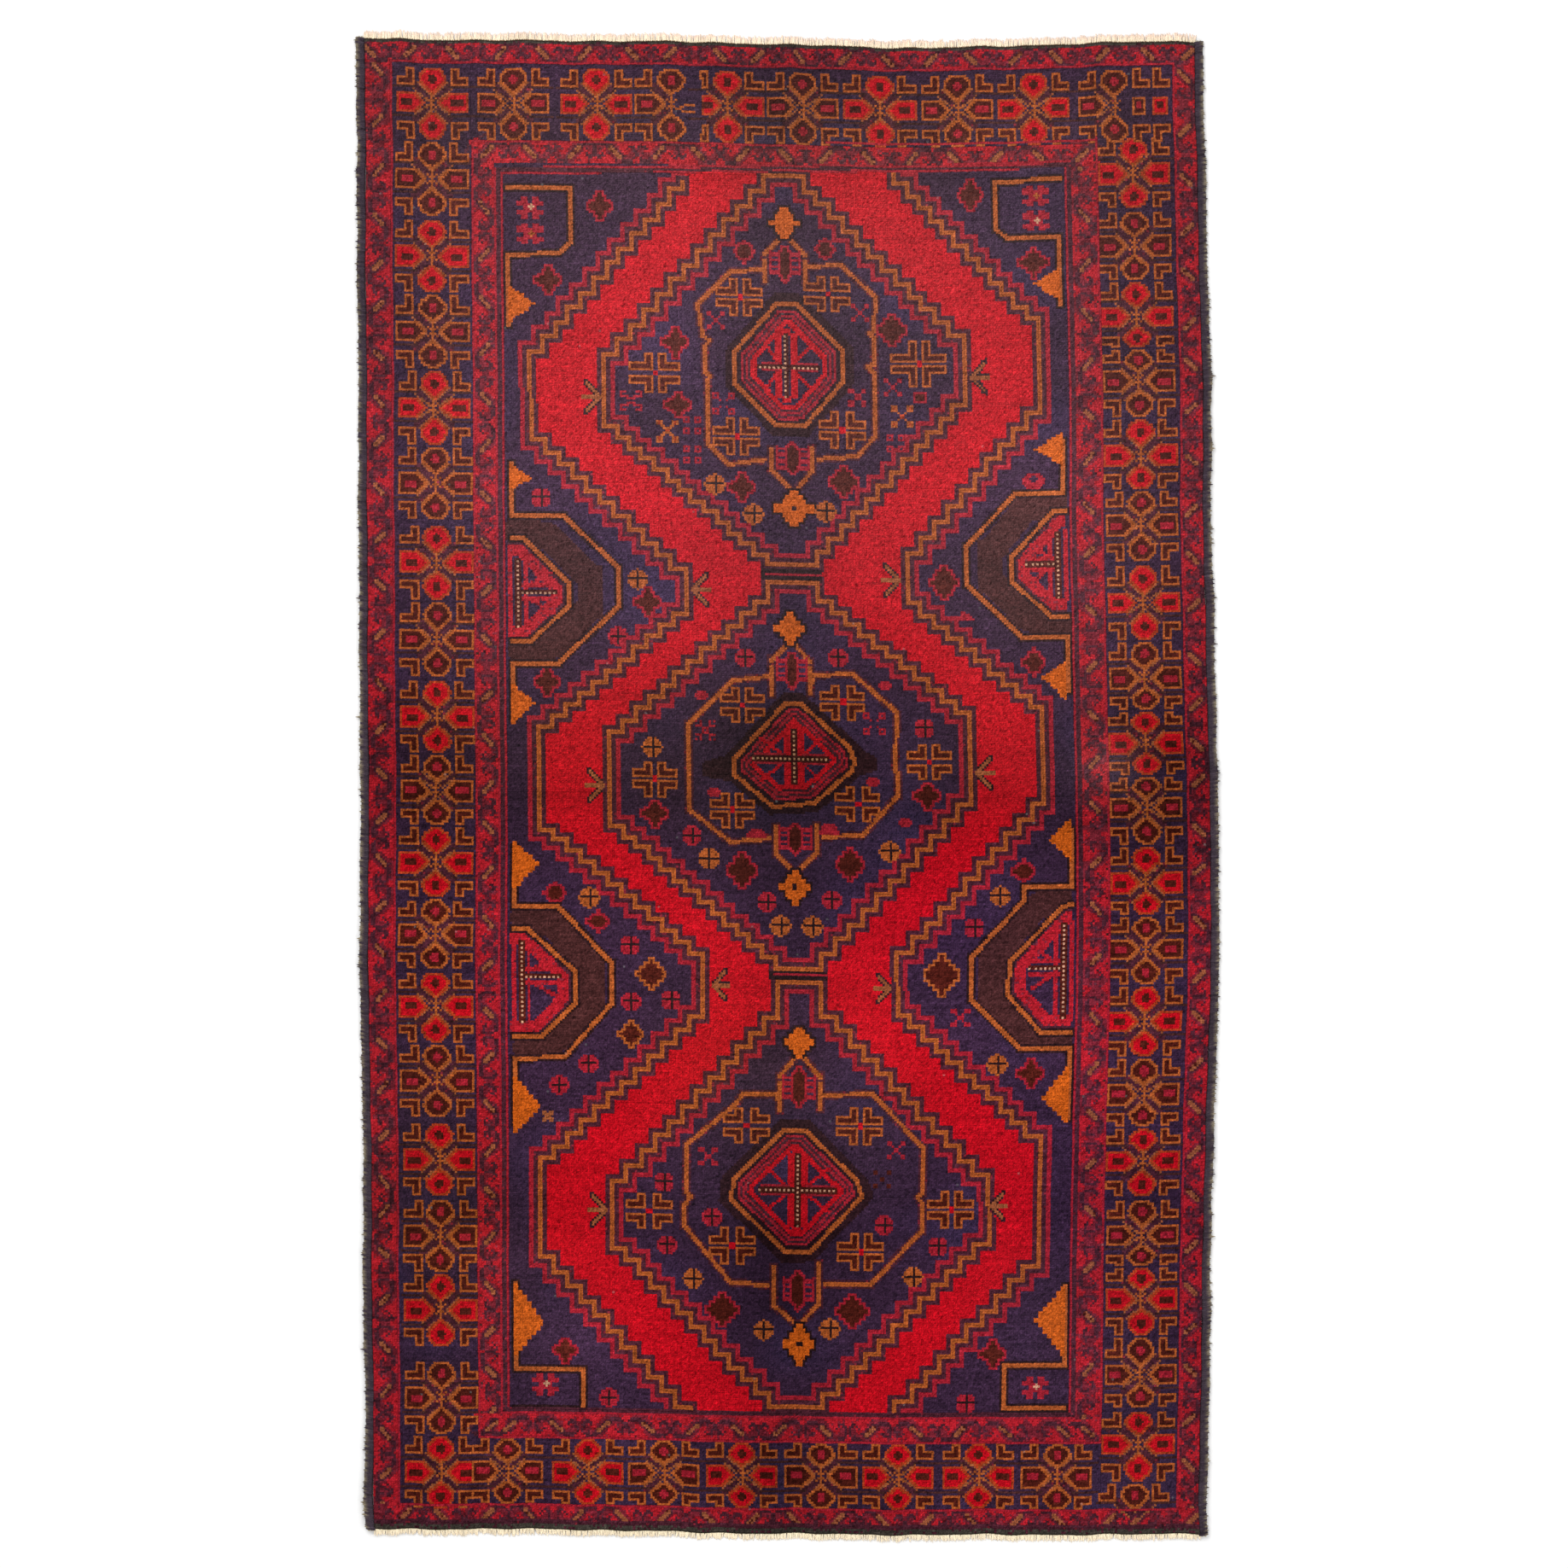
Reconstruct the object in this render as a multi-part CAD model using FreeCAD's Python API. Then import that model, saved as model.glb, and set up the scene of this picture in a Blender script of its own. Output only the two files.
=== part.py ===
"""Hand-knotted tribal area rug, lying flat with its pile up.

The frame has its origin at the middle of the underside, +Y towards the head end along the
length, +X across the width and +Z up out of the pile. All lengths are in millimetres. The
design is counted in knots, as a weaver counts it, from the middle of the rug.
"""
import FreeCAD, Part
import math
import os

# Driving dimensions: the knot sets every size across and along the rug.
KNOT = 2.9
KNOTS_ACROSS = 370
KNOTS_ALONG = 662
WEAVE_THICK = 3.0
PILE_HEIGHT = 6.0

# Knots in each border band, from the rug's edge inwards: outer guard, main border, inner guard.
BANDS = ("outer_guard", "main_border", "inner_guard")
BAND_KNOTS = {
    "left": (11, 36, 14),
    "right": (10, 34, 15),
    "head": (10, 34, 14),
    "foot": (11, 30, 12),
}

# Medallions, in knots: they stand in a column and share the necks between them.
MEDALLION_HALF_WIDTH = 81
NECK_HALF_WIDTH = 9
MEDALLION_SIDE_HALF = 11
HEAD_NECK = 92
FOOT_NECK = -82
MEDALLION_MIDDLES = {"head": 182, "centre": 6, "foot": -180}

# Outer edge of the red ribbon, in knots: how far out it bulges beside each medallion, and how
# far in it comes at each neck.
RIBBON_BULGE = 110
RIBBON_BULGE_HALF = {"head": 20, "centre": 14, "foot": 12}
RIBBON_WAIST = 38
RIBBON_WAIST_HALF = 7
RIBBON_END = 44

# Overcast selvedge along each long side.
SELVEDGE_WIDE = 11.0
SELVEDGE_THICK = 7.0
SELVEDGE_CORDS = 2
CORD_DIAMETER = 3.6
CORD_SIDES = 8

# End finish: a narrow flat weave, a twined line on it, and the cut warp ends.
END_WEAVE_LONG = 3.0
TWINING_DIAMETER = 2.4
FRINGE_LONG = 9.5
FRINGE_BUNDLES = 92
BUNDLE_ROOT_WIDE = 7.0
BUNDLE_TIP_WIDE = 4.6
BUNDLE_THICK = 2.0
BUNDLE_LIFT = 0.5

# Worked out from the driving dimensions.
HALF_ACROSS = KNOTS_ACROSS / 2
HALF_ALONG = KNOTS_ALONG / 2
PILE_TOP = WEAVE_THICK + PILE_HEIGHT
PILE_EDGE_X = HALF_ACROSS * KNOT
PILE_EDGE_Y = HALF_ALONG * KNOT
WEAVE_EDGE_Y = PILE_EDGE_Y + END_WEAVE_LONG
SIDES = {"left": -1, "right": 1}
ENDS = {"head": 1, "foot": -1}


def save(name, shape):
    """Write one node's solids."""
    shape.exportStep(f"parts/{name}.step")


def box(x_limits, y_limits, z_limits):
    """A block between two limits along each axis."""
    low = FreeCAD.Vector(min(x_limits), min(y_limits), min(z_limits))
    high = FreeCAD.Vector(max(x_limits), max(y_limits), max(z_limits))
    size = high - low
    return Part.makeBox(size.x, size.y, size.z, low)


def prism(corners, along):
    """A flat outline pushed along a vector."""
    wire = Part.makePolygon(corners + corners[:1])
    return Part.Face(wire).extrude(along)


def pile(name, outline):
    """One area of knotted pile, its outline given in knots, standing on the ground weave."""
    corners = [FreeCAD.Vector(x * KNOT, y * KNOT, WEAVE_THICK) for x, y in outline]
    save(name, prism(corners, FreeCAD.Vector(0, 0, PILE_HEIGHT)))


def rectangle(x_low, x_high, y_low, y_high):
    """Outline of a rectangle, anticlockwise."""
    return [(x_low, y_low), (x_high, y_low), (x_high, y_high), (x_low, y_high)]


def border_bands():
    """The three nested borders, four areas each; returns the limits of the field inside."""
    left, right = -HALF_ACROSS, HALF_ACROSS
    foot, head = -HALF_ALONG, HALF_ALONG
    for rank, band in enumerate(BANDS):
        inner_left = left + BAND_KNOTS["left"][rank]
        inner_right = right - BAND_KNOTS["right"][rank]
        inner_foot = foot + BAND_KNOTS["foot"][rank]
        inner_head = head - BAND_KNOTS["head"][rank]
        pile(f"pile_{band}_left", rectangle(left, inner_left, foot, head))
        pile(f"pile_{band}_right", rectangle(inner_right, right, foot, head))
        pile(f"pile_{band}_head", rectangle(inner_left, inner_right, inner_head, head))
        pile(f"pile_{band}_foot", rectangle(inner_left, inner_right, foot, inner_foot))
        left, right, foot, head = inner_left, inner_right, inner_foot, inner_head
    return left, right, foot, head


def medallions(foot, head):
    """The three medallions; returns the points down one side of the whole column."""
    tops = {"head": head, "centre": HEAD_NECK, "foot": FOOT_NECK}
    bottoms = {"head": HEAD_NECK, "centre": FOOT_NECK, "foot": foot}
    column = []
    for place, middle in MEDALLION_MIDDLES.items():
        flank = [
            (NECK_HALF_WIDTH, tops[place]),
            (MEDALLION_HALF_WIDTH, middle + MEDALLION_SIDE_HALF),
            (MEDALLION_HALF_WIDTH, middle - MEDALLION_SIDE_HALF),
            (NECK_HALF_WIDTH, bottoms[place]),
        ]
        mirrored = [(-x, y) for x, y in reversed(flank)]
        pile(f"pile_medallion_{place}", flank + mirrored)
        column += flank if not column else flank[1:]
    return column


def ribbon_outer_edge(foot, head):
    """Points down the outer edge of the ribbon, from the head of the field to its foot."""
    waists = [HEAD_NECK, FOOT_NECK]
    edge = [(RIBBON_END, head)]
    for place, middle in MEDALLION_MIDDLES.items():
        half = RIBBON_BULGE_HALF[place]
        edge += [(RIBBON_BULGE, middle + half), (RIBBON_BULGE, middle - half)]
        if waists:
            waist = waists.pop(0)
            edge += [
                (RIBBON_WAIST, waist + RIBBON_WAIST_HALF),
                (RIBBON_WAIST, waist - RIBBON_WAIST_HALF),
            ]
    edge.append((RIBBON_END, foot))
    return edge


def field():
    """The ribbon and the dark ground on each side of the medallions."""
    left, right, foot, head = border_bands()
    inner_edge = medallions(foot, head)
    outer_edge = ribbon_outer_edge(foot, head)
    for side, sign in SIDES.items():
        limit = right if sign > 0 else -left
        ribbon = outer_edge + inner_edge[::-1]
        ground = [(limit, head)] + outer_edge + [(limit, foot)]
        pile(f"pile_ribbon_{side}", [(sign * x, y) for x, y in ribbon])
        pile(f"pile_ground_{side}", [(sign * x, y) for x, y in ground])


def ground_weave():
    """The foundation of warps and wefts that every knot is tied on."""
    save("ground_weave", box((-PILE_EDGE_X, PILE_EDGE_X), (-PILE_EDGE_Y, PILE_EDGE_Y),
                             (0, WEAVE_THICK)))


def cord(x_middle, z_middle, diameter):
    """One selvedge cord, a straight many-sided rod along the whole side."""
    corners = []
    for turn in range(CORD_SIDES):
        angle = 2 * math.pi * (turn + 0.5) / CORD_SIDES
        x = x_middle + diameter / 2 * math.cos(angle)
        z = z_middle + diameter / 2 * math.sin(angle)
        corners.append(FreeCAD.Vector(x, -WEAVE_EDGE_Y, z))
    return prism(corners, FreeCAD.Vector(0, 2 * WEAVE_EDGE_Y, 0))


def selvedges():
    """Each long side: warp cords held in an overcast wrapping of goat hair."""
    for side, sign in SIDES.items():
        spacing = SELVEDGE_WIDE / (SELVEDGE_CORDS + 1)
        cords = Part.makeCompound([
            cord(sign * (PILE_EDGE_X + spacing * (rank + 1)), SELVEDGE_THICK / 2, CORD_DIAMETER)
            for rank in range(SELVEDGE_CORDS)
        ])
        x_limits = (sign * PILE_EDGE_X, sign * (PILE_EDGE_X + SELVEDGE_WIDE))
        wrap = box(x_limits, (-WEAVE_EDGE_Y, WEAVE_EDGE_Y), (0, SELVEDGE_THICK))
        save(f"selvedge_cords_{side}", cords)
        save(f"selvedge_wrap_{side}", wrap.cut(cords))


def fringe_bundle(x_middle, sign):
    """One tapering bundle of cut warp ends, pointing away from the rug."""
    root, tip = BUNDLE_ROOT_WIDE / 2, BUNDLE_TIP_WIDE / 2
    near, far = sign * WEAVE_EDGE_Y, sign * (WEAVE_EDGE_Y + FRINGE_LONG)
    outline = [(-root, near), (root, near), (tip, far), (-tip, far)]
    corners = [FreeCAD.Vector(x_middle + x, y, BUNDLE_LIFT) for x, y in outline]
    return prism(corners, FreeCAD.Vector(0, 0, BUNDLE_THICK))


def end_finishes():
    """Each short end: a narrow flat weave, the twined line on it, and the warp fringe."""
    for end, sign in ENDS.items():
        y_limits = (sign * PILE_EDGE_Y, sign * WEAVE_EDGE_Y)
        save(f"end_weave_{end}", box((-PILE_EDGE_X, PILE_EDGE_X), y_limits, (0, WEAVE_THICK)))

        slack = (END_WEAVE_LONG - TWINING_DIAMETER) / 2
        line_limits = (sign * (PILE_EDGE_Y + slack), sign * (WEAVE_EDGE_Y - slack))
        save(f"end_twining_{end}", box((-PILE_EDGE_X, PILE_EDGE_X), line_limits,
                                       (WEAVE_THICK, WEAVE_THICK + TWINING_DIAMETER)))

        pitch = 2 * PILE_EDGE_X / FRINGE_BUNDLES
        bundles = [
            fringe_bundle(-PILE_EDGE_X + pitch * (rank + 0.5), sign)
            for rank in range(FRINGE_BUNDLES)
        ]
        save(f"fringe_{end}", Part.makeCompound(bundles))


os.makedirs("parts", exist_ok=True)
ground_weave()
field()
selvedges()
end_finishes()
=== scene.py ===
"""Hand-knotted tribal area rug, lying pile up on a plain floor.

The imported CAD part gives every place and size. The design is woven first, as one yarn number for
each knot, and each piece of pile is then cut out of that grid, knot by knot. All lengths are in
metres, in the part's own frame: +Y is towards the head end and +Z is up out of the pile.
"""

import math

import bpy
import numpy as np
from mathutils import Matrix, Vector


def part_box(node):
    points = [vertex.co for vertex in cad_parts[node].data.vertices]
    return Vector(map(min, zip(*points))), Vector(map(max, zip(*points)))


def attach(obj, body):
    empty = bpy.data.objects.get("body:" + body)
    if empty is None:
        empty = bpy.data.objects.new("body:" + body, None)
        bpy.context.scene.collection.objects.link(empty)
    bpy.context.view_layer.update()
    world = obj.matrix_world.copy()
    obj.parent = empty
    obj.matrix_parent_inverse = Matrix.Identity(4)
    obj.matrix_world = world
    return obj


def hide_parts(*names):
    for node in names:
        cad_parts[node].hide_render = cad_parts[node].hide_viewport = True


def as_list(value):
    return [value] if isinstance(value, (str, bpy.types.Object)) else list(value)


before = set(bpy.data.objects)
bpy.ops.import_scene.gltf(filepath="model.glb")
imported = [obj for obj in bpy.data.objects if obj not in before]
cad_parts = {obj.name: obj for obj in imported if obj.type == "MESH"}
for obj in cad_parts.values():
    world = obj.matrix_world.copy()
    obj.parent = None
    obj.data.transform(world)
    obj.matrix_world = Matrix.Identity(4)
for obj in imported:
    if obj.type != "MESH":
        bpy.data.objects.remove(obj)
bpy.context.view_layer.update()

# ---------------------------------------------------------------- the design, counted in knots
ACROSS, ALONG = 370, 662

# The dyed yarns, by number.
(NAVY, RED, GOLD, CRIMSON, SHADE, BROWN, BAND, EMBER, CREAM, TAN,
 GUARD, PLUM, GUARD_RED, HALO, ORANGE, CHARCOAL, BAR) = range(17)

SINGLE = 1.2  # a line this thin is one knot wide, and runs through the middles of its knots
DOUBLE = 1.9  # a line of two knots runs between them


def on_knots(path, width):
    """The same path moved onto the knots, so that a line is equally wide all along it."""
    if width <= SINGLE:
        return [(math.floor(x) + 0.5, math.floor(y) + 0.5) for x, y in path]
    if width <= DOUBLE:
        return [(round(x), round(y)) for x, y in path]
    return path


def stair(start, end, steps):
    """Corner points of a zigzag that goes across, then along, in even steps."""
    (x0, y0), (x1, y1) = start, end
    points = [start]
    for step in range(1, steps + 1):
        x = x0 + (x1 - x0) * step / steps
        points += [(x, points[-1][1]), (x, y0 + (y1 - y0) * step / steps)]
    return points


class Loom:
    """One yarn number for each knot; row 0 is the foot and column 0 the left side."""

    def __init__(self):
        self.yarn = np.full((ALONG, ACROSS), NAVY, np.uint8)
        self.x = np.arange(ACROSS) + 0.5 - ACROSS / 2
        self.y = np.arange(ALONG) + 0.5 - ALONG / 2

    def window(self, points, margin):
        """The part of the grid around some points, with its knots' coordinates."""
        xs, ys = zip(*points)
        cols = slice(*np.searchsorted(self.x, (min(xs) - margin, max(xs) + margin)))
        rows = slice(*np.searchsorted(self.y, (min(ys) - margin, max(ys) + margin)))
        return (rows, cols), self.x[cols][None, :], self.y[rows][:, None]

    def inside(self, outline):
        """Window of a closed outline, and which of its knots are inside."""
        cut, x, y = self.window(outline, 1)
        hit = np.zeros((y.size, x.size), bool)
        for (ax, ay), (bx, by) in zip(outline, outline[1:] + outline[:1]):
            if ay != by:
                crosses = (ay > y) != (by > y)
                hit ^= crosses & (x < ax + (y - ay) * (bx - ax) / (by - ay))
        return cut, hit

    def mask(self, outline):
        """Which knots of the whole rug are inside a closed outline."""
        whole = np.zeros(self.yarn.shape, bool)
        cut, hit = self.inside(outline)
        whole[cut] = hit
        return whole

    def near(self, path, reach, around=None):
        """Window of a path, and each knot's distance from it; upright runs have square corners."""
        cut, x, y = self.window(around or path, reach + 1)
        least = np.full((y.size, x.size), 1e3)
        for (ax, ay), (bx, by) in zip(path, path[1:]):
            run, rise = bx - ax, by - ay
            along = ((x - ax) * run + (y - ay) * rise) / max(run * run + rise * rise, 1e-6)
            along = np.clip(along, 0, 1)
            dx, dy = np.abs(x - ax - along * run), np.abs(y - ay - along * rise)
            square = abs(run) < 1e-6 or abs(rise) < 1e-6
            least = np.minimum(least, np.maximum(dx, dy) if square else np.hypot(dx, dy))
        return cut, least

    def put(self, cut, mask, yarn):
        self.yarn[cut][mask] = yarn

    def fill(self, outline, yarn):
        cut, hit = self.inside(outline)
        self.put(cut, hit, yarn)

    def block(self, x0, x1, y0, y1, yarn):
        self.fill([(x0, y0), (x1, y0), (x1, y1), (x0, y1)], yarn)

    def patch(self, x, y, half_wide, half_tall, yarn):
        """A block about its middle."""
        self.block(x - half_wide, x + half_wide, y - half_tall, y + half_tall, yarn)

    def line(self, path, yarn=GOLD, width=DOUBLE, shade=0.0, shade_yarn=SHADE):
        """A line of one yarn, with a darker edge of a second yarn along both sides."""
        path = on_knots(path, width)
        cut, far = self.near(path, width / 2 + shade)
        if shade:
            self.put(cut, far < width / 2 + shade, shade_yarn)
        self.put(cut, far < width / 2, yarn)

    def rimmed(self, outline, fill, rim):
        """A filled outline whose outermost knots make a rim of another yarn."""
        cut, hit = self.inside(outline)
        padded = np.pad(hit, 1)
        core = hit.copy()
        for down in range(3):
            for across in range(3):
                core &= padded[down:down + hit.shape[0], across:across + hit.shape[1]]
        self.put(cut, hit, rim)
        self.put(cut, core, fill)

    def disc(self, x, y, rx, ry, yarn):
        cut, gx, gy = self.window([(x - rx, y - ry), (x + rx, y + ry)], 1)
        self.put(cut, ((gx - x) / rx) ** 2 + ((gy - y) / ry) ** 2 < 1, yarn)


# ---------------------------------------------------------------- small motifs
def scatter(loom, motif, places, *rest):
    """The same motif at several places; a place can go on with the motif's other values."""
    for place in places:
        motif(loom, *place, *rest)


def placed(shape, x, y, sx=1, sy=1):
    """A shape drawn about the origin, sized or mirrored each way and moved to x, y."""
    return [(x + sx * u, y + sy * v) for u, v in shape]


def four_sided(quarter, x, y, rx, ry):
    """A closed outline about x, y from the points of its upper right quarter."""
    right = quarter + placed(quarter, 0, 0, 1, -1)[::-1]
    return placed(right, x, y, rx, ry) + placed(right, x, y, -rx, ry)[::-1]


DIAGONALS = ((-1, 1), (1, 1), (-1, -1), (1, -1))


def stepped_cross(loom, x, y, rx, ry, rim=CRIMSON):
    """A brown diamond whose four tips are blunt bars."""
    quarter = [(0.26, 1.0), (0.26, 0.72), (0.52, 0.72), (0.52, 0.46), (0.76, 0.46), (0.76, 0.26),
               (1.0, 0.26)]
    loom.rimmed(four_sided(quarter, x, y, rx, ry), BROWN, rim)


def hash_flower(loom, x, y, wide=10.5, tall=8.4):
    """Four brown angle pieces edged in gold round a bright middle."""
    angle = [(1.2, 0.9), (wide, 0.9), (wide, 4.9), (5.4, 4.9), (5.4, tall), (1.2, tall)]
    for sx, sy in DIAGONALS:
        loom.rimmed(placed(angle, x, y, sx, sy), BROWN, GOLD)
    loom.patch(x, y, 1.2, 1.2, RED)


def five_dots(loom, x, y, reach=3.0, yarn=CRIMSON, hole=None, joined=True):
    """A saltire of five dots, joined by thin lines or apart."""
    for lean in (-1, 1) if joined else ():
        loom.line([(x - reach, y - lean * reach), (x + reach, y + lean * reach)], yarn, 1.3)
    size = 1.1 if hole is None else 1.4
    for dot in placed([(0, 0), *DIAGONALS], x, y, reach, reach):
        loom.patch(*dot, size, size, yarn)
        if hole is not None:
            loom.disc(*dot, 0.8, 0.8, hole)


def quartered_disc(loom, x, y, yarn=GOLD, radius=4.6):
    """A disc cut in four by a thin cross."""
    loom.disc(x, y, radius, radius, yarn)
    for across, along in ((radius - 1, 0), (0, radius - 1)):
        loom.line([(x - across, y - along), (x + across, y + along)], SHADE, 0.9)


def bird_foot(loom, x, y, side, long=6.8, spread=6.8):
    """Three toes that open to one side, on the red ribbon."""
    toes = [(0.9 * long, spread), (long, 0), (0.9 * long, -spread)]
    for yarn, width in ((HALO, 2.7), (TAN, 1.25)):
        for toe in placed(toes, x, y, side):
            loom.line([(x, y), toe], yarn, width)


def rosette(loom, x, y, middle=GOLD):
    """A square flower of eight small petals."""
    for sx, sy in DIAGONALS:
        for wide, tall in ((4.4, 4.9), (5.6, 3.2)):
            loom.block(x + sx, x + sx * wide, y + sy, y + sy * tall, CRIMSON)
    loom.patch(x, y, 3, 2.4, CRIMSON)
    loom.line([(x - 1, y), (x + 1, y)], middle, 1.2)
    loom.line([(x, y - 1), (x, y + 1)], middle, 1.2)


def bud(loom, x, y, half_tall=8.5):
    """A tall brown bud outlined in crimson, with a ladder of lobes on each side."""
    for side in (-1, 1):
        for rung in (-4.2, -1.4, 1.4, 4.2):
            loom.block(x + side * 2.4, x + side * 7.2, y + rung - 0.8, y + rung + 0.8, CRIMSON)
        loom.line([(x + side * 6.8, y - 5), (x + side * 6.8, y + 5)], CRIMSON, 1.2)
    outline = four_sided([(0.7, 1.0), (3.4, 0.62)], x, y, 1, half_tall)
    loom.rimmed(outline, BROWN, CRIMSON)


def finial(loom, x, y, rx=7.0, ry=7.2, hole=False):
    """A solid orange star: a stepped body with four short arms."""
    quarter = [(0.22, 1.0), (0.22, 0.72), (0.42, 0.72), (0.42, 0.5), (0.62, 0.5), (0.62, 0.2),
               (1.0, 0.2)]
    outline = four_sided(quarter, x, y, rx, ry)
    cut, far = loom.near(outline + outline[:1], 1)
    loom.put(cut, far < 1.0, SHADE)
    loom.fill(outline, ORANGE)
    if hole:
        loom.patch(x, y, 1.2, 1.2, SHADE)


def dotted(loom, start, end):
    """A brown line with pale dots on every other knot."""
    loom.line([start, end], BROWN, 2.6)
    (x0, y0), (x1, y1) = start, end
    count = int(max(abs(x1 - x0), abs(y1 - y0)) // 2)
    for step in range(count + 1):
        x, y = x0 + (x1 - x0) * step / count, y0 + (y1 - y0) * step / count
        loom.patch(x, y, 0.5, 0.5, CREAM)


def heart(loom, outline, x, y, reach):
    """The nested octagon in the middle of a medallion, its cross at x, y."""
    halo = [(x + (px - x) * 1.19, y + (py - y) * 1.18) for px, py in outline]
    loom.fill(halo, HALO)
    closed = outline + outline[:1]
    cut, hit = loom.inside(outline)
    _, far = loom.near(closed, 0)
    for depth, yarn in ((99, NAVY), (9.2, RED), (7.0, PLUM), (6.0, CRIMSON), (4.8, PLUM),
                        (3.8, CRIMSON), (2.6, HALO)):
        loom.put(cut, hit & (far < depth), yarn)
    left, right, low, high = reach
    for end, out in ((low, -3), (high, 3)):
        loom.block(x - 2, x + 2, min(end, end + out), max(end, end + out), RED)
    for side in (-1, 1):
        loom.block(x + side * 1.9, x + side * 4.6, low - 1, high + 1, RED)
        for rise in (-1, 1):
            near_bar = (x + side * 4, y + rise * 1.6)
            reach_x = (left if side < 0 else right) - side * 2
            loom.line([near_bar, (reach_x, y + rise * 10)], RED, 1.3)
            loom.line([near_bar, (reach_x + side * 1.5, y + rise * 1.8)], CRIMSON, 0.9)
    dotted(loom, (left, y), (right, y))
    dotted(loom, (x, low), (x, high))
    loom.line(closed, GOLD, DOUBLE)


def half_medallion(loom, side, outer, inner, band_path, cross):
    """A medallion cut in half by the border: gold, brown band, gold, then a red heart."""
    wall = -122.5 if side < 0 else 124.5
    loom.fill([(wall, outer[0][1])] + outer + [(wall, outer[-1][1])], NAVY)
    loom.line(band_path, BAND, 12.0)
    body = [(wall, inner[0][1])] + inner + [(wall, inner[-1][1])]
    cut, hit = loom.inside(body)
    _, far = loom.near(inner, 0, body)
    loom.put(cut, hit, NAVY)
    loom.put(cut, hit & (far < 7.6), GUARD_RED)
    loom.put(cut, hit & (far < 2.6), PLUM)
    x, low, high, y, tip = cross
    for shift in (-3.2, 3.2):
        loom.line([(x + shift, low - 1.5), (x + shift, high + 1.5)], GUARD_RED, 2.0)
    for rise in (-1, 1):
        loom.line([(x, y + rise * 2.8), (tip, y + rise * 2.8)], GUARD_RED, 1.6)
        loom.line([(x - side * 5, y + rise * 3), (tip + side * 1.0, y + rise * 9)], GUARD_RED, 1.8)
    dotted(loom, (tip, y), (x, y))
    dotted(loom, (x, low), (x, high))
    for path in (outer, inner):
        loom.line(path, GOLD, DOUBLE, 0.9)


def corner_triangle(loom, base_x, low, high, tip):
    """A solid gold triangle with its base on the border."""
    loom.fill(stair((base_x, high), tip, 7) + stair(tip, (base_x, low), 7), ORANGE)


# ---------------------------------------------------------------- the field
LEFT_EDGE = (
    [(-44, 269), *stair((-44, 265.5), (-107, 193), 11), (-113, 193)]
    + [*stair((-112.5, 154), (-51, 97), 10), (-44, 97)]
    + [*stair((-44, 77), (-104, 25.5), 10), (-109.5, 25.5)]
    + [*stair((-109.5, -19.5), (-44.5, -73.5), 11), (-38, -73.5)]
    + [*stair((-38, -102.5), (-104, -166.5), 11), (-110, -166.5)]
    + [*stair((-110, -210), (-50.5, -276), 10), (-43, -276), (-43, -280)]
)
RIGHT_EDGE = (
    [(50.5, 278), *stair((50.5, 271), (107.5, 209.5), 11), (113, 209.5)]
    + [*stair((113, 168), (60, 106.5), 9), (53.5, 106.5)]
    + [*stair((53.5, 83.5), (107, 37), 9), (112.5, 37)]
    + [*stair((112.5, -6), (54, -72), 10), (47, -72)]
    + [*stair((47.5, -100), (105, -153.5), 10), (111.5, -153.5)]
    + [*stair((111.5, -211.5), (55.5, -272), 9), (47.5, -272), (47.5, -280)]
)
MEDALLIONS = {
    "head": (
        [(-7.5, 273), *stair((-7.5, 266), (-74, 192), 11), (-80, 192)]
        + stair((-80, 159.5), (-8.5, 99.5), 13),
        [(9.5, 273), *stair((9.5, 266.5), (73, 203), 11), (80, 203)]
        + stair((80, 172), (13.5, 99.5), 12),
    ),
    "centre": (
        [(-8.5, 92), *stair((-8.5, 83), (-73, 24), 11), (-79, 24)]
        + stair((-79, -18), (-6.5, -79.5), 13),
        [(14, 92), *stair((14, 84), (74, 35), 10), (80.5, 35)]
        + stair((80.5, -6.5), (14, -79.5), 11),
    ),
    "foot": (
        [(-5, -86), *stair((-5, -102), (-71.5, -175.5), 11), (-78, -175.5)]
        + stair((-78, -205.5), (-8.5, -275), 12),
        [(14.5, -86), *stair((14.5, -101), (82, -171), 11), (89, -171)]
        + stair((89.5, -202), (16.5, -275), 12),
    ),
}


FIELD_HEAD, FIELD_FOOT = 276.5, -277.5  # where the ribbon is cut off at the two ends


def ribbon(loom):
    """The red ribbon and the stepped lines along both of its edges."""
    top = [(RIGHT_EDGE[0][0], 280), (LEFT_EDGE[0][0] + 2, 280)]
    on_ribbon = loom.mask([*top, *LEFT_EDGE, *RIGHT_EDGE[::-1]])
    rings = [left + right[::-1] + left[:1] for left, right in MEDALLIONS.values()]
    for ring in rings:
        on_ribbon &= ~loom.mask(ring)
    on_ribbon[(loom.y > FIELD_HEAD) | (loom.y < FIELD_FOOT)] = False
    loom.yarn[on_ribbon] = RED
    lines = [on_knots(path, DOUBLE) for path in (LEFT_EDGE, RIGHT_EDGE, *rings)]
    for path in lines:
        cut, far = loom.near(path, 5)
        loom.put(cut, (far < 4.9) & ~on_ribbon[cut], CRIMSON)
        loom.put(cut, far < 2.9, PLUM)
    for path in lines:
        cut, far = loom.near(path, 2)
        loom.put(cut, far < 0.95, GOLD)


def necks(loom):
    """The dark bars between the medallions, each with one thin crimson line."""
    for low, high, line_y, left, right in ((93.5, 98, 95.5, -9, 15), (-85, -80.5, -83, -7, 16)):
        loom.block(left - 1.5, right + 1.5, low, high, SHADE)
        loom.line([(left, line_y), (right, line_y)], CRIMSON, 1.1)


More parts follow.
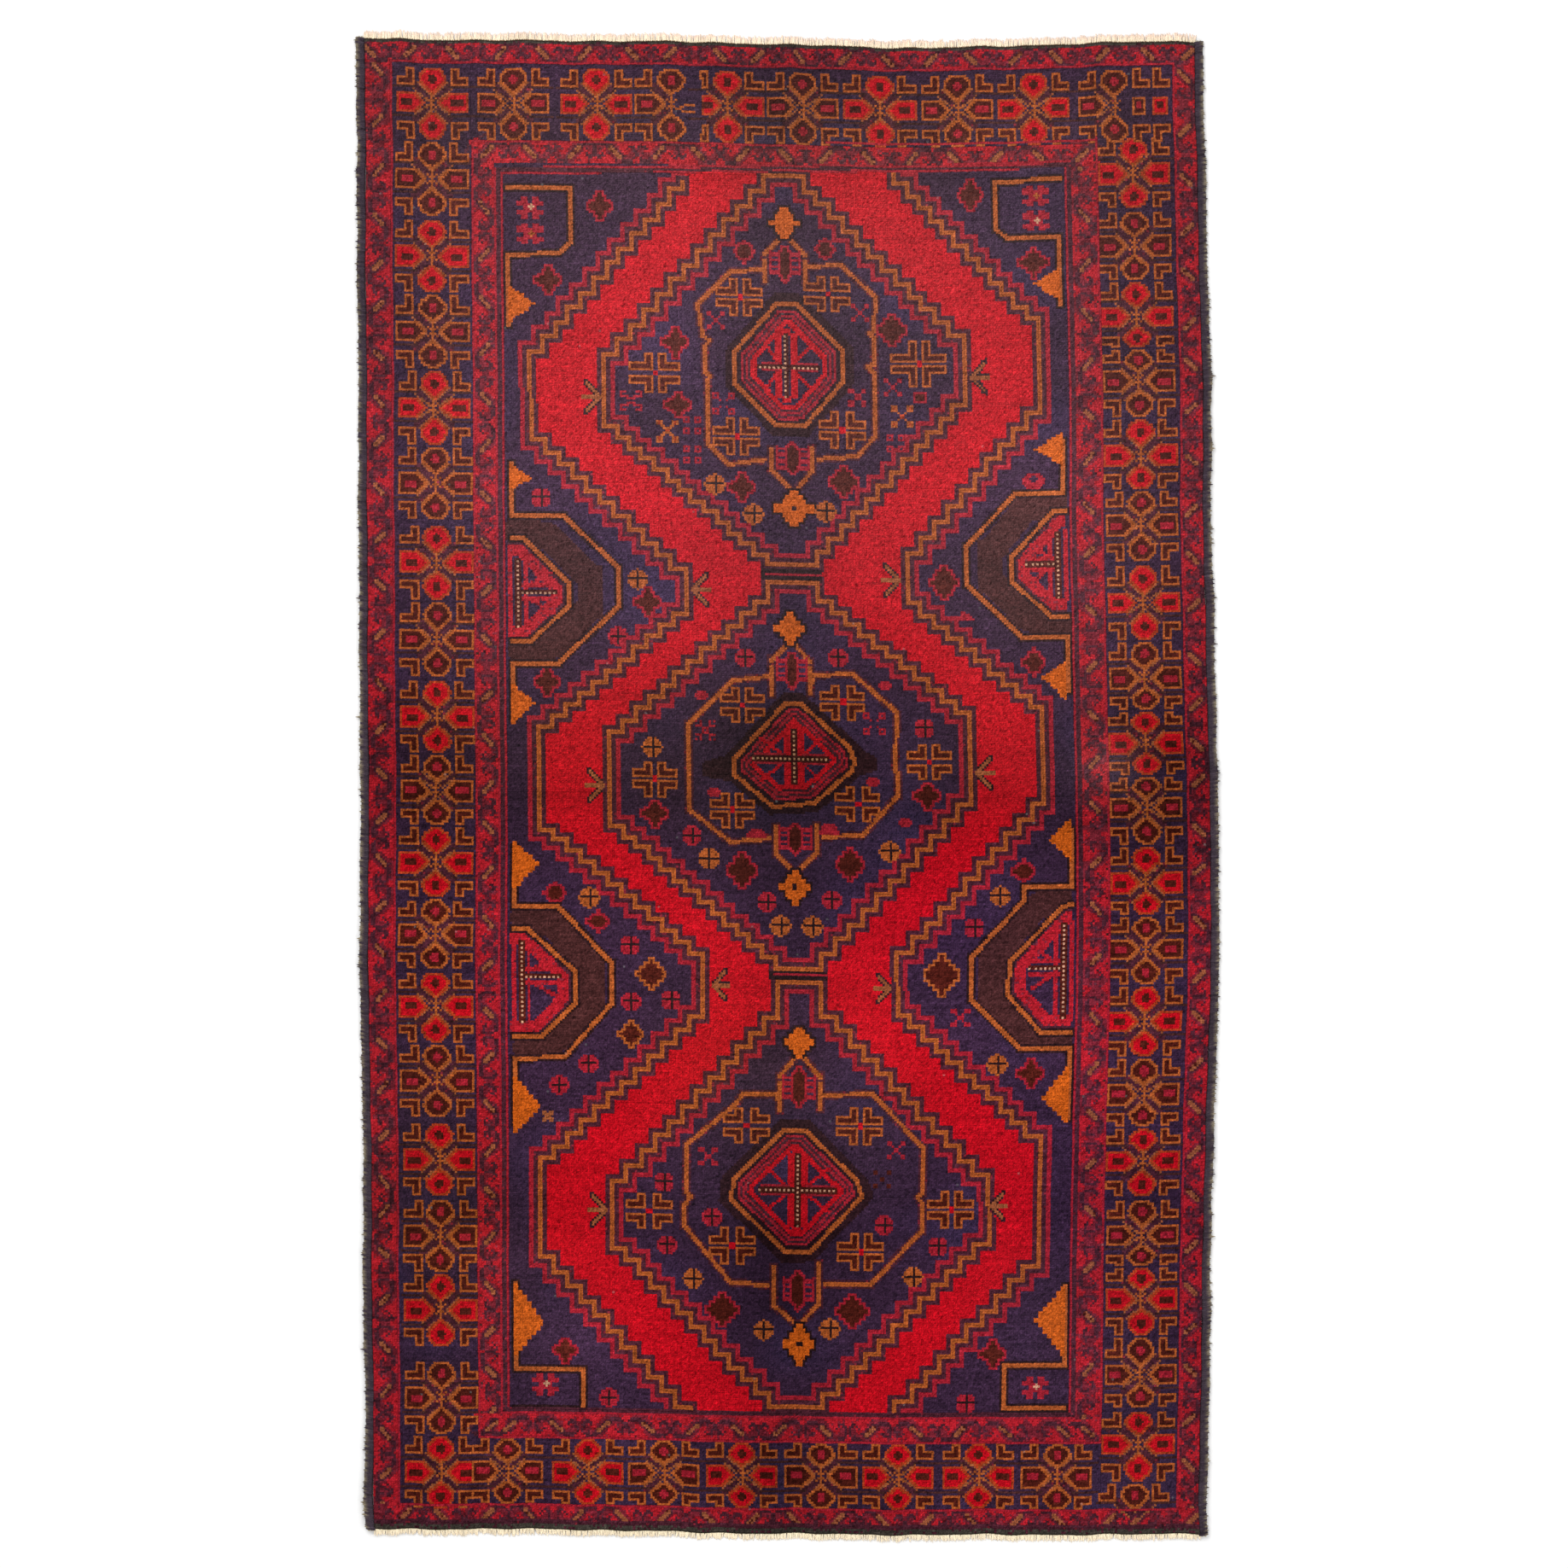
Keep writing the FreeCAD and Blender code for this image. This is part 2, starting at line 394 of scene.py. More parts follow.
def medallion(loom, outlines, finials, buds, octagon):
    """The gold outline of a medallion's flower, its finials and buds, and its heart."""
    for path in outlines:
        loom.line(path, GOLD, DOUBLE, 0.9, PLUM)
    scatter(loom, finial, finials)
    scatter(loom, bud, buds)
    heart(loom, *octagon)


def medallion_head(loom):
    medallion(
        loom,
        ([(-7.5, 237), (-7.5, 226), (-7.5, 231), (-23, 229.5), (-37.5, 215), (-36.5, 201),
          (-33, 199), (-35, 196), (-35, 185), (-33, 183), (-34.5, 181), (-34.5, 153), (-25, 144),
          (-5, 147)],
         [(9.5, 238), (9.5, 226), (9.5, 233), (26, 233.5), (41, 220), (40, 205), (37.5, 204),
          (39.5, 202), (39.5, 190), (37, 189), (40, 186), (40.5, 158), (32, 149), (12, 147)],
         [(0, 246), (-7.5, 237.5)], [(2, 246), (9.5, 238)],
         [(-5.5, 151), (-5.5, 142), (4, 132)], [(11.5, 152), (11.5, 142), (4, 132)]),
        ((1, 252), (4, 125, 8.6, 8.2, True)),
        ((1, 234), (3.2, 147.3, 7.5)),
        ([(-3, 216), (6, 216), (26, 196), (26, 182), (9, 162), (-4, 161.5), (-21.5, 180),
          (-21.5, 194)], 1, 188, (-10.5, 14.5, 175, 202)))
    scatter(loom, hash_flower, ((-19, 218.5), (20, 221), (-21, 156.5), (25.5, 160.5),
                                (-57, 184, 11.5, 9.4), (60, 190.5, 12.5, 10.2)))
    scatter(loom, stepped_cross,
            ((-17, 239, 5, 5.5), (19, 241, 5.3, 5.3), (-48, 198, 6.5, 7.5), (-47, 170, 6.5, 6),
             (48, 205.5, 7, 7.8), (-19, 134, 6.5, 7.2), (26, 137.5, 6.8, 7.8)))
    scatter(loom, five_dots, ((-30, 208), (34, 213), (48, 180), (32.5, 175.5)), 2.9)
    scatter(loom, five_dots, ((-27, 171, 3.6), (-68, 171.5, 3.2), (49, 155, 2.6), (-41, 161, 2.6),
                              (-41, 148, 2.6)), CRIMSON, NAVY)
    scatter(loom, five_dots, ((-52, 158.5), (52, 167)), 3.6, GOLD, EMBER)
    loom.rimmed([(57.5, 173), (62.8, 173), (62.8, 178), (57.5, 178)], BROWN, CRIMSON)
    scatter(loom, quartered_disc, ((-31, 135), (-14, 122), (18, 124)))


def medallion_centre(loom):
    for tip in ([(-26, 3), (-26, 15), (-38, 11), (-38, 5)], [(30, 6), (30, 20), (39, 15), (39, 9)]):
        loom.fill(tip, HALO)
    medallion(
        loom,
        ([(-7, 58), (-7, 42), (-7, 50), (-24, 48), (-44, 28), (-44, -10), (-26, -24), (-7, -22.5)],
         [(10.5, 57), (10.5, 43), (11, 51), (29, 52), (48.5, 35), (47, 10), (48, 7), (48, -2),
          (32, -20.5), (12, -21)],
         [(1.5, 66), (-7, 57)], [(1.5, 66), (10.5, 57)],
         [(-6.5, -17), (-6.5, -29), (2, -37)], [(11.5, -16), (11.5, -28), (3, -37)]),
        ((1.5, 71.5, 7, 7.5), (2.3, -43.5, 6.8, 8, True)),
        ((2, 53), (2.3, -22, 7.5)),
        ([(-1, 38.5), (6, 38.5), (27, 19), (29, 13), (28, 9), (11, -6.5), (-7, -7.8), (-23.5, 6.5),
          (-24, 13)], 2.5, 13.4, (-15, 17, 3.5, 26)))
    scatter(loom, hash_flower, ((-20, 37), (24.5, 39.5), (-59, 3.5), (62, 13), (-25, -9.5),
                                (30.5, -5.8)), 10, 8)
    scatter(loom, five_dots, ((-36.5, 25.5), (38, 30)), 3.3, CRIMSON, NAVY)
    scatter(loom, quartered_disc, ((22.5, 59), (-18.5, 58), (60, 28), (-10, -50.5), (18.5, -49),
                                   (-43, -21.5)), CRIMSON, 4.4)
    scatter(loom, stepped_cross, ((61, -2, 6.5, 6.5), (-59, -12, 6.5, 6.5), (-21, -36.5, 7.3, 8.5),
                                  (26.5, -33, 6.8, 8.3)))
    scatter(loom, quartered_disc, ((-60, 17.5), (-35.5, -31.5), (-4, -61), (10, -61), (44, -27)))
    half_octagon = [(-5, -1.6), (-2.5, 2.6), (2.5, 2.6), (5, -1.6)]
    for x, y in ((-14.5, -20.5), (17.5, -18)):
        loom.fill(placed(half_octagon, x, y), CRIMSON)
    for x, y in ((43, 47), (51, -14), (-38, 41), (37, 4), (-33, -2)):
        loom.disc(x, y, 2.8, 1.8, CRIMSON)


def medallion_foot(loom):
    medallion(
        loom,
        ([(-4.5, -128), (-4.5, -143), (-5, -136), (-20, -136), (-24, -141), (-45, -159),
          (-45, -180), (-43, -182), (-46.5, -186), (-46.5, -195), (-25, -220.5), (-6, -221)],
         [(13.5, -127), (13.5, -142), (14, -136), (37, -135), (60.5, -159), (60.5, -179),
          (58, -181), (60, -184), (60, -196), (37, -220.5), (15, -219.5)],
         [(4, -118), (-4.5, -128)], [(5, -118), (13.5, -128)],
         [(-5.5, -213), (-5.5, -230), (5, -239)], [(14.5, -211), (14.5, -229), (5, -239)]),
        ((4.5, -112.5, 6.8, 7), (5.5, -247, 7, 9.5, True)),
        ((4.5, -132.5, 9.5), (4.8, -223, 9.5)),
        ([(-2, -151.5), (8, -151.5), (31, -174), (33, -181), (10, -205.5), (-1, -206),
          (-25, -183), (-24, -174)], 4.5, -178.5, (-12, 21, -194, -163)))
    scatter(loom, hash_flower, ((-18.5, -150), (32, -149.5), (-61.5, -189), (73, -186.5),
                                (-24.5, -203.5), (33, -205.5)))
    scatter(loom, five_dots, ((-35.5, -164), (48, -160)))
    five_dots(loom, 42, -173, 3, BROWN, joined=False)
    scatter(loom, quartered_disc, ((-55, -176), (-33.5, -191), (-53.5, -204), (43, -193.5),
                                   (67, -203)), CRIMSON, 4.4)
    scatter(loom, quartered_disc, ((-42, -218.5), (56, -216.5), (-10.5, -241), (19, -240)))
    scatter(loom, stepped_cross, ((-29, -232), (29, -232)), 7.6, 8.4)


def ribbon_marks(loom):
    """Bird-foot marks on the red ribbon: x and y of the heel, and the side they open to."""
    scatter(loom, bird_foot, ((-82, 173, -1), (83, 184.5, 1), (-82, 0, -1), (83, 8, 1),
                              (-81, -189, -1), (-41, 88, 1), (50, 94, -1)))
    scatter(loom, bird_foot, ((-33, -87.5, 1), (44, -88, -1), (91, -185, 1)), 5.6, 6.2)


def side_medallions(loom):
    """The four half medallions against the borders, and the triangles above and below them."""
    scatter(loom, half_medallion, (
        (-1,
         [(-121, 143), (-121, 119.5), (-98, 119.5), (-74.5, 97), (-74.5, 80), (-101, 54.5),
          (-121, 54.5), (-121, 30)],
         [(-121, 110), (-116, 110), (-96.5, 90), (-96.5, 80), (-113, 63.5), (-121, 63.5)],
         [(-119, 113), (-105, 111), (-86.5, 92), (-86.5, 80), (-104, 62), (-117, 59.5)],
         (-118.5, 71, 100, 86, -102)),
        (1,
         [(123, 155), (123, 132.5), (102, 131.5), (80, 109), (80, 92), (104, 68), (123.5, 68.5),
          (123.5, 44)],
         [(124, 124.5), (119, 124), (100.5, 104), (100.5, 93), (117, 77), (124, 77)],
         [(119, 127.5), (106, 125), (90.5, 106), (90.5, 94), (106, 77), (120, 72.5)],
         (120.6, 86, 114, 100.5, 107)),
        (-1,
         [(-121, -28), (-121, -54.5), (-102, -54.5), (-78, -79), (-78, -97), (-99, -121),
          (-121, -121.5), (-121, -150)],
         [(-121, -63.5), (-115, -63.5), (-94.5, -83), (-94.5, -97), (-109, -112.5), (-121, -112.5)],
         [(-117, -59), (-104, -62), (-87, -81), (-87, -96), (-102, -113), (-116, -117)],
         (-117.7, -105, -70, -85, -101)),
        (1,
         [(123.5, -18), (123.5, -43), (103, -43), (103, -49), (79.5, -74), (79.5, -93),
          (102, -115), (123.5, -115), (123.5, -146)],
         [(124, -51), (120, -51.5), (97, -76), (96.5, -91), (111, -107.5), (124, -108)],
         [(118, -47.5), (108, -52), (89, -74), (89, -92), (105, -109), (119, -111.5)],
         (120.5, -101, -60, -79, 106)),
    ))
    scatter(loom, corner_triangle, (
        (-122, 131, 143, (-112, 136)), (-121.5, 26, 45, (-111, 36)),
        (123.5, 143, 159, (110, 151)), (123.5, 38, 57, (112.5, 49.5)),
        (-121.5, -48, -25, (-110, -36)), (-121.5, -157, -130, (-109.5, -144)),
        (124, -33, -13, (114, -23)), (124, -150, -123, (112, -138))))


def corners(loom):
    """The brackets, rosettes and triangles in the four corners of the field."""
    for path in ([(-122, 266), (-93.5, 265.5), (-93.5, 242), (-99, 237), (-121.5, 236.5),
                  (-121.5, 205)],
                 [(124, 271.5), (95, 271), (95, 250.5), (100, 246), (123, 245.5), (123, 216)],
                 [(-121, -222), (-121, -259.5), (-91, -259.5), (-91, -277.5), (-121, -277.5)],
                 [(124, -221), (124, -256), (97, -256.5), (97, -275), (124, -275)]):
        loom.line(path, GOLD, DOUBLE, 0.9)
    scatter(loom, corner_triangle, (
        (-122, 205, 222, (-110, 214)), (123.5, 216, 232, (111, 225)),
        (-121.5, -256, -222, (-108.5, -241)), (124, -254, -221, (110.5, -237))))
    scatter(loom, rosette, ((-112, 257, CREAM), (-112, 245.5, GOLD), (113, 264.5, GOLD),
                            (113, 253.5, CREAM), (-108, -267, CREAM), (111, -266, CREAM)))


def side_gaps(loom):
    """Small motifs between the ribbon and the border."""
    scatter(loom, stepped_cross, (
        (-81, 258, 6, 7), (-104, 225, 6.5, 7), (84, 265.5, 6, 7.2), (111.5, 235, 7.2, 7.5),
        (-61, 82, 6.5, 7), (-106, 46, 6, 7), (70, 93, 7, 8), (109, 57, 5.5, 7),
        (-103, -48, 5.5, 5.5), (-84, -60.5, 5.5, 5.5), (103, -36, 5.5, 6), (-99, -251.5, 6, 6),
        (107, -126, 6.5, 7), (92, -251, 6.5, 7), (-60.5, -83.5, 7, 7.5, GOLD),
        (-69.5, -110.5, 6, 6.5, GOLD), (67, -82, 8, 10, GOLD)))
    scatter(loom, quartered_disc, ((-65.5, 92), (-88, -50), (92.5, -47), (92, -122)))
    scatter(loom, quartered_disc, (
        (-108, 128), (-74.5, 66.5), (-70, -71), (-69.5, -96), (-52, -95), (-88.5, -124),
        (-101.5, -133.5), (81, -61), (-79.5, -272.5), (80, -273)), CRIMSON, 4.4)
    loom.disc(110, 137.5, 4.8, 3.8, CRIMSON)
    loom.disc(110, 138.5, 1.6, 1.6, NAVY)
    loom.fill([(75.5, 76.5), (78, 80.5), (83.5, 76.5)], CRIMSON)
    five_dots(loom, 75.5, -101)
    five_dots(loom, -106.5, -147.5, 1.5, TAN)


# ---------------------------------------------------------------- the borders
def flower(loom, x, y, red, petals="nesw", brackets="abcd", reach=(16, 16, 16, 16)):
    """One border flower, red or brown, with the petals and angle brackets that are named.

    Its reach is the room that it has above, to the right, below and to the left.
    """
    body, rim, dot = (RED, EMBER, BROWN) if red else (BROWN, GOLD, CRIMSON)
    up, right, down, left = (min(value, 16.2) for value in reach)
    for name, (sx, sy) in zip("abcd", DIAGONALS):
        wide, tall = (right if sx > 0 else left), (up if sy > 0 else down)
        if name in brackets:
            stem = placed([(1.5, 2), (7.5, 7.4)], x, y, sx, sy)
            loom.line(stem, PLUM, 3.4)
            for aside in (-1.2, 1.2):
                loom.line(placed(stem, -sx * aside, sy * aside), TAN, 0.8)
            loom.line([(x + sx * 7, y + sy * 6.5), (x + sx * 17.5, y + sy * 6.5)], BAND, 1.0)
            angle = [(8, 8), (wide, 8), (wide, 12), (12, 12), (12, tall), (8, tall)]
            loom.rimmed(placed(angle, x, y, sx, sy), BROWN, GOLD)
    half_drop = [(0.8, 4.0), (5.9, 8.6), (6.4, 11.4), (5.0, 14.0), (2.6, 16.0)]
    for name, sy, tall in (("n", 1, up), ("s", -1, down)):
        if name in petals:
            drop = [(u, 4 + (v - 4) * (tall - 4) / 12) for u, v in half_drop]
            loom.rimmed(placed(drop, x, y, 1, sy) + placed(drop, x, y, -1, sy)[::-1], body, rim)
            loom.disc(x, y + sy * (tall * 0.55 + 1.8), 1.9, 2.1, dot)
    for name, sx, wide in (("e", 1, right), ("w", -1, left)):
        if name in petals:
            house = [(2.6, 0), (7.6, 4.9), (wide, 4.9), (wide, -4.9), (7.6, -4.9)]
            loom.rimmed(placed(house, x, y, sx), body, rim)
            loom.patch(x + sx * (wide / 2 + 3), y, 2.6, 1.5, dot)
    if "s" in petals:
        for lean in (-1, 1):
            loom.line([(x - 2, y - lean * 2), (x + 2, y + lean * 2)], GOLD, 0.9)
        loom.line([(x, y - 4), (x, y + 4)], GOLD, 1.0)


def gaps(places):
    """Room on each side of every flower in a line: half the way to its neighbours."""
    rooms = [abs(after - before) / 2 - 0.7 for before, after in zip(places, places[1:])]
    return list(zip([16.0] + rooms, rooms + [16.0]))


LEFT_COLUMN = (-155.0, (303.5, 269.5, 235, 201.5, 167.5, 134, 98.7, 64.5, 30, -2.7, -34.8, -66.8,
                        -98.8, -132, -167, -201, -234, -273, -306))
RIGHT_COLUMN = (157.3, (273, 241, 209.5, 181, 147.7, 117, 82.5, 49, 20, -8.5, -42, -71.5, -103.5,
                        -135.8, -165.5, -198.5, -227, -260.5, -291.5))
CROWDED = (-48.5, 149)  # these flowers have no room for a right-hand petal and brackets
CORNER_COLUMNS = (157, 166.5)  # brackets that fill the corner past the last flower
HEAD_ROW = (303.5, (-119, -82, -48.5, -23.5, 10, 44.5, 79, 113, 149))
FOOT_ROW = (-305.6, (-125, -89, -55, -20, 15.5, 50, 86, 121.5))
FOOT_REDS = (-89, -20, 50, 86)


def main_border(loom):
    for middle, places in (LEFT_COLUMN, RIGHT_COLUMN):
        for rank, (y, (above, below)) in enumerate(zip(places, gaps(places))):
            flower(loom, middle + 0.7 * math.sin(y / 50), y, rank % 2 == 0,
                   reach=(above, 16.6, below, 16.6))
    y, places = HEAD_ROW
    for rank, (x, (before, after)) in enumerate(zip(places, gaps(places))):
        crowded = x in CROWDED
        flower(loom, x, y, rank % 2 == 1, "nsw" if crowded else "nesw",
               "ac" if crowded else "abcd", (16, 16 if crowded else after, 16, before))
    for rise in (-2.5, 0.5):
        loom.line([(CROWDED[0] + 3, y - 2), (CROWDED[0] + 6, y - 1 + rise),
                   (CROWDED[0] + 9.5, y - 0.5 + rise)], GOLD, 1.0)
    for x, red in ((CORNER_COLUMNS[0], False), (CORNER_COLUMNS[1], True)):
        for up in (-1, 1):
            angle = [(0, 8), (7.6, 8), (7.6, 12), (4, 12), (4, 16.5), (0, 16.5)]
            loom.rimmed(placed(angle, x, y, 1, up), BROWN, GOLD)
        loom.rimmed([(x, y - 4), (x + 6.5, y - 4), (x + 6.5, y + 4), (x, y + 4)],
                    RED if red else BROWN, EMBER if red else GOLD)
        loom.block(x + 2, x + 4.5, y - 1.5, y + 1.5, BROWN if red else CRIMSON)
    y, places = FOOT_ROW
    for x, (before, after) in zip(places, gaps(places)):
        flower(loom, x, y, x in FOOT_REDS, reach=(14.2, after, 14.2, before))
    flower(loom, 156.5, -324.5, False, "n", "ab")


HOOK = ((2.6, 2.6), (4.4, 3.9), (7.2, 3.8), (9.2, 1.8), (8.8, -1.8), (6.6, -2.6), (5.4, -0.8))


def leaning(text):
    """Places and leans from words such as '-165/'."""
    return [(float(word[:-1]), 1 if word[-1] == "/" else -1) for word in text.split()]


def guard_band(loom, upright, middle, half, low, high, text):
    """A guard stripe: slanting gold bars with a hook at each end, and red triangles between."""
    def at(along, across):
        return (middle + across, along) if upright else (along, middle + across)

    bars = leaning(text)
    loom.fill([at(low, -half), at(high, -half), at(high, half), at(low, half)], GUARD)
    for (place, _), (after, _) in zip(bars, bars[1:]):
        mid = (place + after) / 2
        for side in (-1, 1):
            loom.fill([at(mid - 2.8, side * half), at(mid + 2.8, side * half),
                       at(mid, side * (half - 3.4))], GUARD_RED)
    for place, lean in bars:
        for end in (-1, 1):
            loom.fill([at(place + end * along, end * lean * across) for along, across in
                       ((-0.6, -half), (8.2, -half), (6.2, 0.6), (4.4, 1.4))], GUARD_RED)
            hook = [at(place + end * along, end * lean * across) for along, across in HOOK]
            loom.line(hook, PLUM, 1.2)
            loom.line(hook[:3], PLUM, DOUBLE)
    for place, lean in bars:
        bar = [at(place - 1.8, -1.8 * lean), at(place + 1.8, 1.8 * lean)]
        loom.line(bar, PLUM, 3.1)
        loom.line(bar, BAR, 1.6)


# Each guard stripe: whether it runs along the rug, the middle and half of its width, its two ends,
# and the place and lean of each gold bar. The outer four come first.
GUARD_BANDS = (
    (True, -179.4, 5.6, -331, 331,
     r"-322\ -306.5/ -289\ -270/ -250.5\ -229.5/ -208.5\ -190/ -177\ -156.5/ -135/ -115.5\ "
     r"-94/ -74\ -54.5/ -34\ -15.5/ 4.5\ 24.5/ 44\ 66.5/ 88.5\ 109.5/ 131\ 152.5/ 170\ 190.5\ "
     r"212.5/ 230.5/ 251\ 273/ 295/ 318\ "),
    (True, 180.2, 5.0, -331, 331,
     r"-322/ -301\ -281/ -259\ -240.5/ -223\ -204/ -181\ -162/ -142\ -123/ -102\ -84/ -60\ "
     r"-36.5/ -19\ 3/ 19\ 37/ 57\ 81/ 102\ 123/ 145.5\ 168.5/ 188\ 206/ 228\ 248/ 270\ 292/ "
     r"316\ "),
    (False, 326.0, 5.2, -185, 185,
     r"-183\ -165/ -146\ -124.5/ -106\ -87/ -66\ -49/ -27\ -10/ 8.5\ 29/ 48\ 67/ 85\ 105/ 123\ "
     r"144/ 164\ 182/ "),
    (False, -325.2, 4.8, -185, 185,
     r"-171/ -155\ -134/ -115.5\ -93.5/ -74\ -55/ -35\ -15/ 3\ 23/ 43\ 63/ 82.5\ 103/ 122\ "
     r"145/ 157/ 182/ "),
    (True, -132.4, 4.6, -291, 286,
     r"-280/ -261.5\ -243.5/ -224\ -202/ -181.5\ -163/ -143\ -121.5/ -101.5\ -80.5/ -61\ -39/ "
     r"-19\ -1/ 20\ 39.5/ 64.5\ 86.5/ 107.5\ 128.5\ 151/ 172\ 194/ 215\ 236/ 257\ 280/ "),
    (True, 134.7, 5.2, -291, 289,
     r"-281\ -258/ -234.5\ -212.5/ -187.5\ -166.5/ -144.5\ -124/ -102\ -75.5/ -53\ -32.5/ -8\ "
     r"12/ 32.5\ 54.5/ 79.5\ 105.5/ 125\ 147/ 166.5\ 189/ 211\ 233/ 255\ 278/ "),
    (False, 282.2, 5.0, -137, 140,
     r"-131/ -112\ -92/ -74\ -54.5/ -37\ -17/ 2\ 20/ 39\ 58.5/ 77\ 96/ 115\ 134/ "),
    (False, -285.4, 5.0, -137, 140,
     r"-132/ -124/ -103\ -82/ -62\ -42/ -22\ -3/ 17.5\ 37.5/ 58\ 77.5/ 98\ 124\ 135\ "),
)


def border_lines(loom):
    """The thin crimson and dark lines between the border bands."""
    for x, low, high in ((-173.9, -321, 321), (-137.3, -291, 286.5), (175.4, -321, 321),
                         (140.3, -291, 289)):
        loom.line([(x, low), (x, high)], CRIMSON, SINGLE)
    for y, left, right in ((321, -174, 175.5), (286.8, -137.5, 20), (288.6, 20, 140.5),
                           (-320.6, -174, 175.5), (-290.6, -137.5, 140.5)):
        loom.line([(left, y), (right, y)], CRIMSON, SINGLE)
    inner = [(-126, -278.5), (-126, 273.5), (-60, 274.5), (20, 277), (127.6, 278.5),
             (127.6, -278.5), (-126, -278.5)]
    loom.line(inner, CRIMSON, 3.4)
    loom.line(inner, PLUM, 1.21)


def borders(loom):
    """The guard stripes, the main border between them and the plain knots at both ends."""
    scatter(loom, guard_band, GUARD_BANDS)
    main_border(loom)
    border_lines(loom)
    for low, high, yarn in ((-329, -327, PLUM), (-331, -329, CHARCOAL), (330, 331, CHARCOAL)):
        loom.block(-185, 185, low, high, yarn)


# The usual yarn, the one tied instead, and how often.
STRAY_KNOTS = ((GUARD, PLUM, 0.05), (GUARD_RED, GUARD, 0.08), (PLUM, GUARD, 0.04),
               (BAR, BROWN, 0.10), (CHARCOAL, PLUM, 0.20))


def mottle(knots):
    """Knots here and there tied in a neighbouring colour, which makes the narrow bands busy."""
    chance = np.random.default_rng(11)
    for usual, instead, share in STRAY_KNOTS:
        knots[(knots == usual) & (chance.random(knots.shape) < share)] = instead
    return knots


def weave_design():
    """The whole rug, one yarn number per knot."""
    loom = Loom()
    ribbon(loom)
    necks(loom)
    for part in (medallion_head, medallion_centre, medallion_foot, ribbon_marks, side_gaps,
                 side_medallions, corners, borders):
        part(loom)
    return mottle(loom.yarn)


# ---------------------------------------------------------------- places and sizes
WEAVE_LOW, WEAVE_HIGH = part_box("ground_weave")
HALF_WIDE, HALF_LONG, WEAVE_TOP = WEAVE_HIGH
PILE_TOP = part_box("pile_ribbon_left")[1].z
KNOT = 2 * HALF_WIDE / ACROSS
SUB = 2  # samples along each side of a knot
TILE_KNOTS = 166  # longest piece of pile, so that each is seen in fine detail
MM = 0.001

rng = np.random.default_rng(7)


def falls(value, middle, width):
    """A smooth hump, 1 in the middle."""
    return np.exp(-(((value - middle) / width) ** 2))


def place(x, y):
    """Where a point of the flat design lies: the hand-woven outline is a little out of square.

    How far each of the four edges is off the straight follows from where along it the point is,
    and the distance between two opposite edges shares that out.
    """
    u, v = x / HALF_WIDE, y / HALF_LONG
    left = (1.5 - 5.85 * v + 1.35 * v**2 - 2.4 * falls(v, -0.25, 0.1)) * MM
    right = (7.5 - 2.75 * v - 16.5 * v**2 + 5.0 * falls(v, -0.17, 0.22)) * MM
    right = right - (2.5 * falls(v, 0.33, 0.1) + 1.5 * falls(v, -0.56, 0.12)) * MM
    right = right + 4.0 * v**16 * MM
    head = (0.8 - 9.0 * falls(u, 0.33, 0.42) + 3.0 * falls(u, -1.0, 0.2)) * MM
    foot = (0.3 + 7.6 / (1 + np.exp((u + 0.27) / 0.10)) + 1.2 * falls(u, -0.02, 0.12)) * MM
    foot = foot + 2.0 * falls(u, 1.0, 0.12) * MM
    across, along = (u + 1) / 2, (v + 1) / 2
    moved_x = x + left * (1 - across) + right * across
    moved_y = y + foot * (1 - along) + head * along
    wander = 0.5 * MM * np.sin(v * 23 + 1.3) + 0.4 * MM * np.sin(v * 61)
    ragged = 0.6 * np.sin(u * 17) + 0.6 * np.sin(u * 41 + 1) + 0.4 * np.sin(u * 67)
    return moved_x + wander * u**2, moved_y + ragged * MM * v**6


def lift(x, y):
    """How far the rug stands off the floor: long soft waves, and a few ripples at its edges."""
    u, v = x / HALF_WIDE, y / HALF_LONG
    waves = 0.5 + 0.28 * np.sin(3.1 * v + 1.1 * u + 0.6) + 0.22 * np.sin(7.3 * v - 2.0 * u)
    folds = 1.2 * falls(v, 0.01, 0.045) + 0.7 * falls(v, -0.5, 0.05) + 0.6 * falls(v, 0.51, 0.05)
    ripple = np.abs(u) ** 6 * (1 + np.sin(14 * v + 2 * u)) + np.abs(v) ** 10 * (
        1 + np.sin(9 * u + v))
    return np.maximum(1.6 * waves + 0.8 * folds + 0.9 * ripple, 0) * MM


# ---------------------------------------------------------------- colour of the wool
YARN_RGB = {
    NAVY: (53, 33, 54), RED: (178, 12, 26), GOLD: (158, 79, 36), CRIMSON: (147, 28, 42),
    SHADE: (40, 22, 25), BROWN: (73, 25, 18), BAND: (65, 34, 34), EMBER: (158, 55, 26),
    CREAM: (184, 135, 108), TAN: (140, 77, 46), GUARD: (112, 32, 44), PLUM: (72, 32, 43),
    GUARD_RED: (163, 27, 38), HALO: (45, 23, 29), ORANGE: (184, 83, 21), CHARCOAL: (64, 58, 52),
    BAR: (140, 77, 50),
}
DUST_AND_SHEEN = np.array([0.022, 0.017, 0.017])  # paler head half: part fading and dust, part painted sheen
BLOOM = np.array([0.005, 0.006, 0.020])  # bluish sheen where the navy pile leans away
KNOT_TONE = 0.12  # how much one knot differs from the next
TUFT_TONE = 0.30  # how much the wool differs within a knot
ROW_TONE = 0.035  # how much one row of knots differs from the next
DARK_WOOL = 0.25  # wool is dark when its three linear colour values add up to less than this
LINT_SHARE = 0.0004
